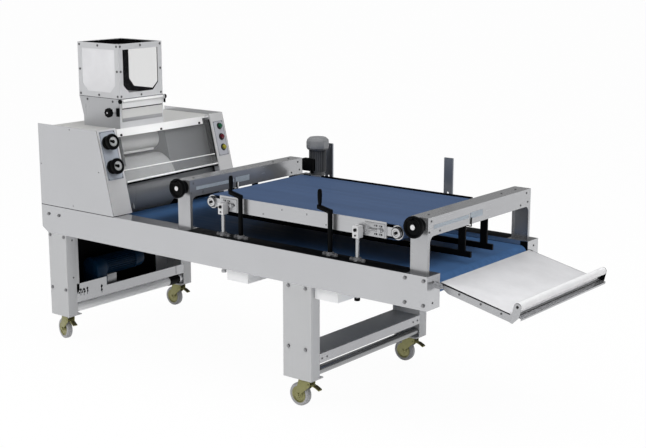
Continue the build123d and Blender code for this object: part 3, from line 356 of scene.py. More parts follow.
@dataclass(frozen=True)
class ClearSheet(Finish):
    """Clear or tinted plastic sheet."""

    cover: float = 0.3

    def dress(self, paint: Paint) -> None:
        """Add the see-through share and faint wiping marks.

        Args:
            paint: Board of the material.
        """
        paint.shader.inputs["Alpha"].default_value = self.cover
        paint.shader.inputs["IOR"].default_value = 1.49
        wipe = Effect.BRUSHED_LINES.place(paint, (6.0, 2.0, 6.0))
        paint.surface("Base Color", self.tint(paint, wipe, 0.96, 1.04))
        paint.surface("Roughness", paint.spread(wipe, self.rough, self.rough + 0.05))


@dataclass(frozen=True)
class RulerStrip(Finish):
    """Pale strip with dark lines at equal steps along Y, in metres."""

    step: float = 0.01
    line: Colour = (0.05, 0.06, 0.08)

    def dress(self, paint: Paint) -> None:
        """Add the lines.

        Args:
            paint: Board of the material.
        """
        part = paint.math("FRACT", paint.math("DIVIDE", paint.along("Y"), self.step))
        mark = paint.math("LESS_THAN", part, 0.16)
        paint.surface("Base Color", paint.blend(mark, self.colour, self.line))


STEEL = (0.52, 0.525, 0.54)
BEAM_STEEL = SheetSteel("steel_along_x", STEEL, 0.16, 0.9)
UNIT_STEEL = SheetSteel("unit_plate_steel", STEEL, 0.3, 0.8)
# Near-black painted reflection and shade for the beams' tops and the far beam's inner face.
BEAM_PAINTED_REFLECTION = SheetSteel("painted_dark_reflection", (0.003, 0.0034, 0.004), 0.5, 0.0, 0.05, "dark_frame")
CROSS_STEEL = SheetSteel("steel_along_y", shade(STEEL, 0.88), 0.24, 0.7, grain=Grain.ALONG_Y)
POST_STEEL = SheetSteel("steel_upright", (0.55, 0.555, 0.565), 0.4, 0.1, grain=Grain.ALONG_Z)
HOPPER_STEEL = SheetSteel("hopper_satin_steel", (0.62, 0.625, 0.64), 0.42, 0.3, grain=Grain.ALONG_Z)
THROAT_STEEL = SheetSteel("throat_steel", (0.46, 0.465, 0.48), 0.3, 0.6, grain=Grain.ALONG_Z)
HEM_STEEL = SheetSteel("hem_steel", (0.36, 0.365, 0.375), 0.35, 0.5, grain=Grain.ALONG_Y)
# White satin for the guard strip, also used as painted highlight on the guard's fold and the flap's fold.
WHITE_STRIP_AND_HIGHLIGHT = SheetSteel("white_strip_and_painted_highlight", (0.8, 0.8, 0.8), 0.45, 0.1, grain=Grain.ALONG_Y)
COVER_STEEL = SheetSteel("cover_satin_steel", (0.6, 0.6, 0.59), 0.5, 0.2, grain=Grain.ALONG_Y)
SHADED_STEEL = SheetSteel("shaded_steel_upright", (0.22, 0.235, 0.265), 0.3, 0.7, grain=Grain.ALONG_Z)
FLANGE_STEEL = SheetSteel("flange_steel", (0.2, 0.2, 0.21), 0.36, 0.4, grain=Grain.NONE, contrast=0.05)
PALE_STEEL = SheetSteel("pale_satin_steel", (0.72, 0.72, 0.73), 0.42, 0.4, grain=Grain.ALONG_Y)
# Lit and shaded copies of the cross tubes' steel: near-white as painted light, dark as painted shade.
TUBE_PAINTED_LIGHT = SheetSteel("tube_steel_painted_light", (0.93, 0.935, 0.945), 0.3, 0.05, grain=Grain.ALONG_Y)
TUBE_PAINTED_SHADE = SheetSteel("tube_steel_painted_shade", (0.3, 0.305, 0.31), 0.25, 0.9, grain=Grain.ALONG_Y)
BRIGHT_STEEL = SheetSteel("bright_steel", (0.56, 0.56, 0.57), 0.22, 0.95, grain=Grain.NONE, contrast=0.05)
SCREW_STEEL = SheetSteel("screw_steel", (0.14, 0.14, 0.145), 0.35, 0.8, grain=Grain.NONE, contrast=0.1)
FAINT_SCREW = SheetSteel("faint_screw_steel", (0.3, 0.3, 0.31), 0.35, 0.7, grain=Grain.NONE, contrast=0.06)
DIAL_GREY = SheetSteel("dial_grey", (0.6, 0.61, 0.62), 0.35, 0.5, grain=Grain.NONE, contrast=0.04)
DRUM_COAT = SheetSteel(
    "grey_drum_coat", (0.24, 0.245, 0.255), 0.3, 0.35, slot="drum_grey", grain=Grain.ALONG_Y, contrast=0.06
)
ZINC_YELLOW = SheetSteel(
    "yellow_zinc", (0.27, 0.26, 0.11), 0.36, 0.5, slot="zinc_yellow", grain=Grain.NONE, contrast=0.16
)
PLATE_BLUE = SheetSteel(
    "blue_grey_plate", (0.46, 0.5, 0.57), 0.4, 0.2, slot="pale_panel", grain=Grain.ALONG_Y
)
PLATE_LILAC = SheetSteel(
    "lilac_grey_plate", (0.52, 0.53, 0.58), 0.4, 0.2, slot="pale_panel", grain=Grain.ALONG_Y
)
THREAD_STEEL = ThreadedSteel("screw_rod_steel", (0.45, 0.45, 0.47), 0.3, 0.9)
DARK_STEEL = Finish("dark_oiled_steel", (0.012, 0.012, 0.013), 0.4, 0.3, 0.2)
# Black for slots and dark joints, also used as painted shadow under the flap's fold and under the tray's stop
# bar.
SLOT_AND_SHADE_BLACK = Finish("slot_and_painted_shade_black", (0.004, 0.004, 0.005), 0.7, 0.0, 0.1, "dark_frame")
PLATE_LINE = Finish("plate_line", (0.1, 0.11, 0.13), slot="dark_frame")
SCALE_BLUE = RulerStrip("scale_blue", (0.44, 0.5, 0.56), 0.4, slot="pale_panel")
DARK_PAINT = Skin("dark_grey_paint", (0.2, 0.207, 0.215), 0.5, 0.0, 0.3)
BLACK_COAT = Skin("black_satin_coat", (0.002, 0.0023, 0.0028), 0.4, 0.0, 0.05, "black_steel")
BLACK_PLASTIC = Skin("black_moulding", (0.0025, 0.0027, 0.003), 0.42, 0.0, 0.07, "black_plastic", relief=0.2)
# Black rubber for lips and seals, also used as painted shade in the motor space and inside the hopper.
RUBBER_AND_PAINTED_SHADE = Skin("black_rubber_and_painted_shade", (0.003, 0.003, 0.0035), 0.75, 0.0, 0.03, "black_plastic", 400.0, 0.3)
WHITE_PLASTIC = Skin("white_plastic", (0.82, 0.82, 0.83), 0.35, slot="roller_white")
ROLLER_COAT = Skin("white_roller_coat", (0.85, 0.85, 0.84), 0.3, slot="roller_white", pitch=300.0)
# Pale grey laid over the drum's upper front as painted light.
DRUM_TOP_LIGHT_GREY = Skin("drum_top_painted_light_grey", (0.5, 0.505, 0.51), 0.4, 0.0, 0.3, "roller_white", 300.0)
TRAY_WHITE = Skin("tray_white", (0.64, 0.64, 0.655), 0.45, 0.0, 0.3, pitch=250.0, relief=0.06)
MOTOR_BLUE = Skin("motor_dark_blue", (0.002, 0.02, 0.05), 0.4, 0.0, 0.1, "motor_blue", relief=0.3)
MOTOR_GREY = Skin("cast_motor_grey", (0.12, 0.124, 0.13), 0.45, 0.2, 0.3, "motor_grey", relief=0.35)
COWL_GREY = Skin("cowl_grey", (0.26, 0.265, 0.275), 0.38, 0.2, 0.4, "motor_grey")
PEDAL_OLIVE = Skin("pedal_dark_olive", (0.05, 0.045, 0.02), 0.6, 0.0, 0.15, "pedal_black", 400.0, 0.3)
TREAD_PALE = Skin("pale_tread", (0.42, 0.42, 0.43), slot="tread_white")
SHELF_PAINTED_SHADE = Skin("shelf_painted_shade_grey", (0.29, 0.295, 0.3), 0.5, 0.0, 0.3, "dark_frame", 260.0, 0.05)
GLOSS_GREEN = Skin("gloss_green", (0.008, 0.09, 0.04), 0.2, slot="button_green", relief=0.02)
GLOSS_RED = Skin("gloss_dark_red", (0.12, 0.01, 0.02), 0.2, slot="button_red", relief=0.02)
GLOSS_YELLOW = Skin("gloss_olive_yellow", (0.34, 0.31, 0.03), 0.2, slot="button_yellow", relief=0.02)
# Painted shade on the lower belt under the head and the upper unit, and painted light towards the outfeed
# end, as shares of its colour along X.
LOWER_PAINTED_LIGHT = (
    (590, 0.4), (660, 0.6), (720, 0.52), (800, 0.24), (940, 0.14),
    (1250, 0.2), (1800, 0.4), (2300, 1.0), (2800, 1.0),
)
LOWER_CLOTH = BeltCloth("lower_belt_blue", (0.055, 0.125, 0.27), 0.5, 0.0, 0.04, "belt", LOWER_PAINTED_LIGHT)
UPPER_CLOTH = BeltCloth("upper_belt_blue", (0.054, 0.086, 0.16), 0.55, 0.0, 0.04, "belt")
GUARD_TINT = ClearSheet("tinted_guard", (0.3, 0.305, 0.31), 0.12, slot="clear_sheet", cover=0.2)
PANE_CLEAR = ClearSheet("clear_pane", (0.06, 0.06, 0.065), 0.08, 0.0, 0.1, "clear_sheet", 0.08)
PANE_MILKY = ClearSheet("milky_pane", (0.86, 0.86, 0.88), 0.4, 0.0, 0.2, "clear_sheet", 0.85)


# Places and outlines


FRAME_WIDTH = 1050


class Face(Enum):
    """Sides of the machine, each as the directions to the right and up when it is looked at."""

    NEAR = ((1, 0, 0), (0, 0, 1))
    FAR = ((-1, 0, 0), (0, 0, 1))
    OUTFEED = ((0, 1, 0), (0, 0, 1))
    INFEED = ((0, -1, 0), (0, 0, 1))
    TOP = ((1, 0, 0), (0, 1, 0))
    UNDER = ((1, 0, 0), (0, -1, 0))

    def at(self, x: float, y: float, z: float) -> Matrix:
        """Frame at a place on this side, whose own Z points outwards."""
        return directed((x, y, z), *self.value)


def directed(origin: Point, right: Point, up: Point) -> Matrix:
    """Frame from its origin and two directions.

    Args:
        origin: Place of the frame.
        right: Direction of its X.
        up: Direction of its Y.

    Returns:
        The frame's matrix.
    """
    across, rise = Vector(right), Vector(up)
    turned = Matrix((across, rise, across.cross(rise))).transposed()
    return Matrix.Translation(origin) @ turned.to_4x4()


def slide(x: float, y: float, z: float) -> Matrix:
    """Plain shift."""
    return Matrix.Translation((x, y, z))


def upright(y: float) -> Matrix:
    """Frame at a place across the machine, with its X along it and its Y up."""
    return directed((0, y, 0), (1, 0, 0), (0, 0, 1))


def crosswise(x: float, y: float, z: float) -> Matrix:
    """Frame whose Z points to the far side."""
    return directed((x, y, z), (0, 0, 1), (1, 0, 0))


def both_sides(x: float, z: float, near: float = 0, far: float = FRAME_WIDTH) -> list[Matrix]:
    """Frames at the same place on a near and a far side."""
    return [Face.NEAR.at(x, near, z), Face.FAR.at(x, far, z)]


def mirrored_y(y: float) -> float:
    """Same place on the far side of the frame."""
    return FRAME_WIDTH - y


def paired(*places: float) -> list[float]:
    """Places across the near side, and the same on the far side."""
    return [*places, *(mirrored_y(y) for y in reversed(places))]


def turns(count: int) -> list[Matrix]:
    """Equal turns round Z."""
    return [Matrix.Rotation(2 * math.pi * step / count, 4, "Z") for step in range(count)]


def oblong(x0: float, y0: float, x1: float, y1: float) -> list[Flat]:
    """Outline of a rectangle between two corners."""
    return [(x0, y0), (x1, y0), (x1, y1), (x0, y1)]


def shrunk(corners: Corners, inset: float) -> Corners:
    """Rectangle drawn in by the same width on every side."""
    x0, y0, x1, y1 = corners
    return x0 + inset, y0 + inset, x1 - inset, y1 - inset


def doubled(half: Outline) -> list[Flat]:
    """Turned outline from its lower half, with the same half mirrored above it."""
    return [*half, *((radius, -height) for radius, height in reversed(half))]


def arc(centre: Flat, radius: float, start: float, end: float, steps: int) -> list[Flat]:
    """Points of an arc between two angles in degrees.

    Args:
        centre: Middle of the circle.
        radius: Its radius.
        start: Angle of the first point.
        end: Angle of the last point.
        steps: Straight pieces between them.

    Returns:
        The points.
    """
    angles = [math.radians(start + (end - start) * step / steps) for step in range(steps + 1)]
    return [(centre[0] + radius * math.cos(angle), centre[1] + radius * math.sin(angle)) for angle in angles]


HEAD_FOOT = (633, 836)
HEAD_TOP = (511, 1323)
HEAD_LEAN = math.atan2(HEAD_FOOT[0] - HEAD_TOP[0], HEAD_TOP[1] - HEAD_FOOT[1])
HEAD_FRONT = directed(
    (HEAD_FOOT[0], 0, HEAD_FOOT[1]), (0, 1, 0), (-math.sin(HEAD_LEAN), 0, math.cos(HEAD_LEAN))
)


# Mesh work


class Head(Enum):
    """Screw heads, each as a turned outline of radius and height for a radius of one."""

    SOCKET = ((0.0, 0.45), (0.5, 0.45), (0.52, 0.9), (0.86, 0.9), (1.0, 0.75), (1.0, 0.0))
    PAN = ((0.0, 0.3), (0.3, 0.3), (0.34, 0.48), (0.7, 0.46), (1.0, 0.25), (1.0, 0.0))
    FLAT = ((0.0, 0.12), (0.4, 0.12), (0.44, 0.24), (0.94, 0.24), (1.0, 0.16), (1.0, 0.0))


class Form:
    """Mesh of one piece while it is shaped; each step gives the form itself."""

    def __init__(self) -> None:
        """Start with nothing."""
        self.mesh = bmesh.new()

    def _fresh(self, before: set) -> list:
        """Give the corners that weren't there before."""
        return [corner for corner in self.mesh.verts if corner not in before]

    def _bevel(self, items: Iterable, width: float, steps: int, affect: str) -> None:
        """Round edges or corners off.

        Args:
            items: Edges or corners.
            width: Width of the rounding.
            steps: Flats in it.
            affect: Kind of the items, EDGES or VERTICES.
        """
        bmesh.ops.bevel(
            self.mesh, geom=list(items), offset=width, offset_type="OFFSET", segments=steps,
            profile=0.5, affect=affect, material=-1, clamp_overlap=True,
        )

    def _soften(self, corners: Iterable, width: float, steps: int) -> None:
        """Round the sharp edges of some corners.

        Args:
            corners: Corners whose edges are looked at.
            width: Width of the rounding.
            steps: Flats in it.
        """
        self.mesh.normal_update()
        edges = {edge for corner in corners for edge in corner.link_edges}
        self._bevel([edge for edge in edges if edge.calc_face_angle(0.0) > 0.5], width, steps, "EDGES")

    def block(
        self, low: Point, high: Point, place: Optional[Matrix] = None, soften: float = 0, steps: int = 2
    ) -> "Form":
        """Add a block between two corners.

        Args:
            low: Lowest corner.
            high: Highest corner.
            place: Frame that the corners are given in.
            soften: Width of the rounding on its edges.
            steps: Flats in the rounding.

        Returns:
            The form itself.
        """
        before = set(self.mesh.verts)
        corners = bmesh.ops.create_cube(self.mesh, size=1.0)["verts"]
        sizes = [end - start for start, end in zip(low, high)]
        middle = [(start + end) / 2 for start, end in zip(low, high)]
        bmesh.ops.scale(self.mesh, vec=sizes, verts=corners)
        bmesh.ops.translate(self.mesh, vec=middle, verts=corners)
        if soften:
            self._soften(corners, soften, steps)
        if place is not None:
            bmesh.ops.transform(self.mesh, matrix=place, verts=self._fresh(before))
        return self

    def ribs(self, low: Point, high: Point, axis: Matrix, count: int) -> "Form":
        """Add equal blocks round an axis.

        Args:
            low: Lowest corner of the first block.
            high: Highest corner of it.
            axis: Frame whose Z is the axis.
            count: Number of blocks.

        Returns:
            The form itself.
        """
        for turn in turns(count):
            self.block(low, high, axis @ turn)
        return self

    def turned(self, outline: Outline, place: Matrix, steps: int = 32) -> "Form":
        """Add a turned shape.

        Args:
            outline: Radius and height points; closed into a ring unless both ends are on the axis.
            place: Frame whose Z is the axis.
            steps: Flats round it.

        Returns:
            The form itself.
        """
        before = set(self.mesh.verts)
        row = [self.mesh.verts.new((radius, 0, height)) for radius, height in outline]
        pairs = list(zip(row, row[1:]))
        if outline[0][0] > 0 and outline[-1][0] > 0:
            pairs.append((row[-1], row[0]))
        edges = [self.mesh.edges.new(pair) for pair in pairs]
        bmesh.ops.spin(
            self.mesh, geom=row + edges, cent=(0, 0, 0), axis=(0, 0, 1), angle=2 * math.pi,
            steps=steps, use_merge=True,
        )
        bmesh.ops.remove_doubles(self.mesh, verts=self._fresh(before), dist=1e-4)
        bmesh.ops.transform(self.mesh, matrix=place, verts=self._fresh(before))
        return self

    def rod(self, radius: float, length: float, place: Matrix, edge: float = 0, steps: int = 24) -> "Form":
        """Add a round bar from the frame's origin along its Z.

        Args:
            radius: Radius of the bar.
            length: Its length.
            place: Frame of its start.
            edge: Width of the flat that takes its end edges off.
            steps: Flats round it.

        Returns:
            The form itself.
        """
        cut = min(edge, radius / 2)
        wall = [(radius, cut), (radius, length - cut)]
        if cut:
            wall = [(radius - cut, 0), *wall, (radius - cut, length)]
        return self.turned([(0, 0), *wall, (0, length)], place, steps)

    def plate(
        self, outline: Outline, depth: float, place: Matrix, corner: float = 0, soften: float = 0
    ) -> "Form":
        """Add a flat plate.

        Args:
            outline: Corner points in the frame's X and Y.
            depth: Thickness along its Z.
            place: Frame of the outline.
            corner: Radius of the outline's corners.
            soften: Width of the rounding on the plate's edges.

        Returns:
            The form itself.
        """
        before = set(self.mesh.verts)
        corners = [self.mesh.verts.new((x, y, 0)) for x, y in outline]
        face = self.mesh.faces.new(corners)
        if corner:
            self._bevel(corners, corner, 4, "VERTICES")
            face = self._fresh(before)[0].link_faces[0]
        raised = bmesh.ops.extrude_face_region(self.mesh, geom=[face])["geom"]
        lifted = [item for item in raised if isinstance(item, bmesh.types.BMVert)]
        bmesh.ops.translate(self.mesh, vec=(0, 0, depth), verts=lifted)
        fresh = self._fresh(before)
        faces = {item for point in fresh for item in point.link_faces}
        bmesh.ops.recalc_face_normals(self.mesh, faces=list(faces))
        if soften:
            self._soften(fresh, soften, 2)
        bmesh.ops.transform(self.mesh, matrix=place, verts=self._fresh(before))
        return self

    def screws(
        self, places: Iterable[Matrix], radius: float, head: Head = Head.PAN, steps: int = 12
    ) -> "Form":
        """Add a screw head at each place.

        Args:
            places: Frames whose Z points out of the surface.
            radius: Radius of the heads.
            head: Kind of head.
            steps: Flats round each head.

        Returns:
            The form itself.
        """
        outline = [(share * radius, rise * radius) for share, rise in head.value] + [(0, 0)]
        for place in places:
            self.turned(outline, place, steps)
        return self

    def finish(
        self, name: str, finish: Finish, body: str = "frame", stands_for: str = "", slot: str = ""
    ) -> None:
        """Turn the form into a piece of the machine.

        Args:
            name: Name of the piece.
            finish: Its finish.
            body: Body that it moves with.
            stands_for: Solid that it is shown in place of.
            slot: Not used.
        """
        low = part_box("side_beams")[0]
        corner = Matrix.Translation((low.x, low.y, 0)) @ Matrix.Scale(MM, 4)
        bmesh.ops.recalc_face_normals(self.mesh, faces=self.mesh.faces)
        bmesh.ops.transform(self.mesh, matrix=corner, verts=self.mesh.verts)
        mesh = bpy.data.meshes.new(name)
        self.mesh.to_mesh(mesh)
        self.mesh.free()
        mesh.polygons.foreach_set("use_smooth", [True] * len(mesh.polygons))
        mesh.set_sharp_from_angle(angle=math.radians(32))
        mesh.materials.append(finish.material())
        piece = bpy.data.objects.new(name, mesh)
        bpy.context.scene.collection.objects.link(piece)
        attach(piece, body)
        if stands_for:
            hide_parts(stands_for)
        LOG.info("piece %s on %s: %d faces", name, body, len(mesh.polygons))


@dataclass
class Assembly:
    """A sub-assembly: solids that keep their shape and get a finish, and pieces added to them."""

    nodes: dict[str, bpy.types.Object]

    def coat(self, finish: Finish, *names: str) -> None:
        """Give solids a finish.

        Args:
            finish: The finish.
            names: Names of the solids.
        """
        for name in names:
            materials = self.nodes[name].data.materials
            materials.clear()
            materials.append(finish.material())
            LOG.info("solid %s: %s", name, finish.name)


# Sub-assemblies


@dataclass
class Underframe(Assembly):
    """Beams, legs, trays, cross tubes and the drive between the infeed legs.

    A tube is given by its X, height and radius, a slot by its Y, foot and head, and a keyhole by its Y,
    height and length.
    """

    beam_end: float = 2790
    beam_top: float = 835
    beam_screw_z: Flat = (804, 700)
    leg_front: float = 207
    legs_apart: Flat = (73, 977)
    leg_screw_y: float = 47
    leg_screw_z: Flat = (630, 400)
    leg_edge_y: Flat = (69, 91)
    leg_edge_z: Flat = (302, 658)
    shelf: Flat = (1898, 2085)
    shelf_screw_y: Flat = (90, 132)
    shelf_screw_z: float = 268
    painted_shade_z: Flat = (294.5, 297)
    panel_x: Flat = (1, 632)
    panel_screws: Outline = ((280, 1308), (14, 1083), (288, 858), (520, 1083))
    rear_panel: Box = ((2, 109, 668), (4.2, 941, 835))
    rear_screw_y: Point = (140, 525, 910)
    rear_screw_z: Flat = (690, 822)
    infeed_tube: Point = (172, 200, 28)
    outfeed_tube: Point = (2055, 197, 24)
    sleeve_y: float = 866
    sleeve_length: float = 88
    space: Box = ((53.2, 71, 243.2), (203, 877, 657))
    slots: Sequence[Point] = ((75, 293, 357), (911, 247, 299))
    keyholes: Sequence[Point] = ((99, 300, 44), (124.5, 297, 46), (151.5, 298, 46), (267.5, 285, 50))
    reflection_x: Flat = (1204, 2660)
    reflection_y: Flat = (6, 944)
    reflection_width: float = 100
    end_painted_shade: Box = ((2745, 940.9, 772), (2788, 941.9, 834))
    motor: Flat = (128.5, 406)
    motor_y: float = 330
    motor_radius: float = 62
    motor_length: float = 270
    fins: Flat = (18, 250)
    case_radius: float = 66
    case_depth: float = 81
    case_cover: Outline = ((0, 0), (46, 0), (46, 2), (43, 4), (0, 4))
    lower_cover_z: float = 300

    def build(self) -> None:
        """Dress the frame and add its fittings."""
        self.coat(BEAM_STEEL, "side_beams", "belt_bed")
        self.coat(POST_STEEL, "legs")
        self.coat(CROSS_STEEL, "motor_tray", "outfeed_shelf")
        self.coat(TUBE_PAINTED_LIGHT, "cross_members")
        self.coat(FAINT_SCREW, "frame_bolts")
        self.coat(LOWER_CLOTH, "lower_belt")
        self.coat(BRIGHT_STEEL, "lower_drive_roller", "lower_tail_roller")
        self._frame_screws()
        self._panels()
        self._tubes()
        self._motor_space()
        self._tray_front()
        self._strips()
        self._gearmotor()

    def _frame_screws(self) -> None:
        """Screws on the legs, the beam ends and the shelf's lips."""
        places = []
        for y in paired(self.leg_screw_y):
            places += [Face.OUTFEED.at(self.leg_front, y, z) for z in self.leg_screw_z]
            places += [Face.OUTFEED.at(self.beam_end, y, z) for z in self.beam_screw_z]
        for y in paired(*self.shelf_screw_y):
            for face, x in zip((Face.INFEED, Face.OUTFEED), self.shelf):
                places.append(face.at(x, y, self.shelf_screw_z))
        Form().screws(places, 5.5).finish("frame_screws", SCREW_STEEL)

    def _panels(self) -> None:
        """The rear panel, with its screws and those of the head's side panels."""
        rear = self.rear_panel[0][0]
        places = [frame for x, z in self.panel_screws for frame in both_sides(x, z)]
        places += [Face.INFEED.at(rear, y, z) for y in self.rear_screw_y for z in self.rear_screw_z]
        Form().screws(places, 4, Head.FLAT).finish("panel_screws", FAINT_SCREW)
        Form().block(*self.rear_panel, soften=0.6).finish("rear_panel", CROSS_STEEL)

    def _tubes(self) -> None:
        """Wide outer faces of the cross tubes, near-white on the infeed one as painted light and dark on the
        outfeed one as painted shade, and the black clamp sleeve on the infeed one.
        """
        self._tube_cover("infeed_tube_cover", self.infeed_tube, TUBE_PAINTED_LIGHT)
        x, z, r = self.infeed_tube
        half = [(r + 0.2, 0), (r + 2, 0), (r + 3, 1.5)]
        sleeve = half + [(radius, self.sleeve_length - rise) for radius, rise in reversed(half)]
        Form().turned(sleeve, Face.FAR.at(x, self.sleeve_y, z), 28).finish("tube_sleeve", BLACK_PLASTIC)
        self._tube_cover("outfeed_tube_cover", self.outfeed_tube, TUBE_PAINTED_SHADE)

    def _tube_cover(self, name: str, tube: Point, finish: Finish) -> None:
        """Wide outer face of one cross tube.

        Args:
            name: Name of the piece.
            tube: Its place along the machine, its height and its radius.
            finish: Its finish.
        """
        (x, z, radius), (near, far) = tube, self.legs_apart
        form = Form().rod(radius, far - near, Face.FAR.at(x, near, z), 1, 40)
        form.finish(name, finish)

    def _motor_space(self) -> None:
        """Painted shade: black sheets on the back wall and under the roof of the motor space; painted light:
        a pale sheet at its far end.
        """
        (x0, y0, z0), (x1, y1, z1) = self.space
        form = Form().block((x0, y0, z0), (x0 + 2, y1, z1)).block((x0, y0, z1 - 2), (x1, y1, z1))
        form.finish("motor_space_painted_shade", RUBBER_AND_PAINTED_SHADE)
        form = Form().block((x0, y1 + 0.5, z0), (x0 + 1.2, mirrored_y(y0), z1), soften=0.3)
        form.finish("motor_space_painted_light", PALE_STEEL)

    def _tray_front(self) -> None:
        """Slots and keyholes in the tray's front, and the inner edges of the legs."""
        back, front = self.leg_front - 0.4, self.leg_front + 0.4
        form = Form()
        for y, low, high in self.slots:
            form.block((back, y - 2.2, low), (front, y + 2.2, high))
        for y, z, tall in self.keyholes:
            form.block((back, y - 2, z - tall / 2), (front, y + 2, z + tall / 4))
            form.rod(tall / 6, front - back, Face.OUTFEED.at(back, y, z + tall / 3), 0, 20)
        form.finish("tray_front_slots", SLOT_AND_SHADE_BLACK)
        (near, far), (low, high) = self.leg_edge_y, self.leg_edge_z
        form = Form()
        for y in (near, mirrored_y(far)):
            form.block((self.leg_front - 0.6, y, low), (self.leg_front, y + far - near, high), soften=0.2)
        form.finish("flange_edges", POST_STEEL)

    def _strips(self) -> None:
        """Painted shade on the shelf's top, the seams under the head's panels, and painted reflection and
        shade on the beams' tops and the far beam's inner face.
        """
        (near, far), (low, high), top = self.legs_apart, self.painted_shade_z, self.beam_top
        # Painted shade and reflection: a dark grey sheet on the shelf's top.
        form = Form().block((self.shelf[0] + 4, near, low), (self.shelf[1] - 4, far, high), soften=0.8)
        form.finish("shelf_top_painted_shade", SHELF_PAINTED_SHADE)
        start, end = self.panel_x
        form = Form()
        for y in (-0.3, FRAME_WIDTH - 0.3):
            form.block((start, y, top - 1.4), (end, y + 0.6, top + 2.4))
        form.finish("panel_seams", SLOT_AND_SHADE_BLACK)
        # Painted reflection: dark strips on the beams' tops; painted shade: the strip on the far beam's inner
        # face.
        start, end = self.reflection_x
        form = Form()
        for y in self.reflection_y:
            form.block((start, y, top + 0.8), (end, y + self.reflection_width, top + 1.5), soften=0.2)
        form.block(*self.end_painted_shade).finish("beam_painted_reflection_and_shade", BEAM_PAINTED_REFLECTION)

    def _gearmotor(self) -> None:
        """Round-topped gear case, the ribbed drive motor behind it and its foot."""
        (x, z), y, case = self.motor, self.motor_y, self.case_radius
        r, end, (fin_start, fin_end) = self.motor_radius, self.motor_length, self.fins
        floor = self.space[0][2]
        arch = [(x + case, floor), *arc(self.motor, case, 0, 180, 20), (x - case, floor)]
        form = Form().plate(arch, self.case_depth, Face.NEAR.at(0, y, 0), soften=4)
        for height in (z, self.lower_cover_z):
            form.turned(self.case_cover, Face.NEAR.at(x, y - self.case_depth, height))
        axis = Face.FAR.at(x, y, z)
        form.rod(r - 9, end, axis, 0, 36)
        form.ribs((r - 11, -1.6, fin_start), (r - 0.5, 1.6, fin_end), axis, 28)
        form.rod(r, 14, axis, 0, 36).rod(r, 18, axis @ slide(0, 0, end - 18), 0, 36)
        skirt = [(0, end), (r - 4, end), (r - 4, end + 46)]
        form.turned(skirt + [(r - 8, end + 55), (r - 18, end + 60), (0, end + 60)], axis, 36)
        form.finish("drive_motor", MOTOR_BLUE, stands_for="main_gearmotor")
        form = Form().block((x - 45, y + 4, floor), (x + 45, y + 94, z - 52), soften=3)
        form.finish("drive_motor_foot", HEM_STEEL)


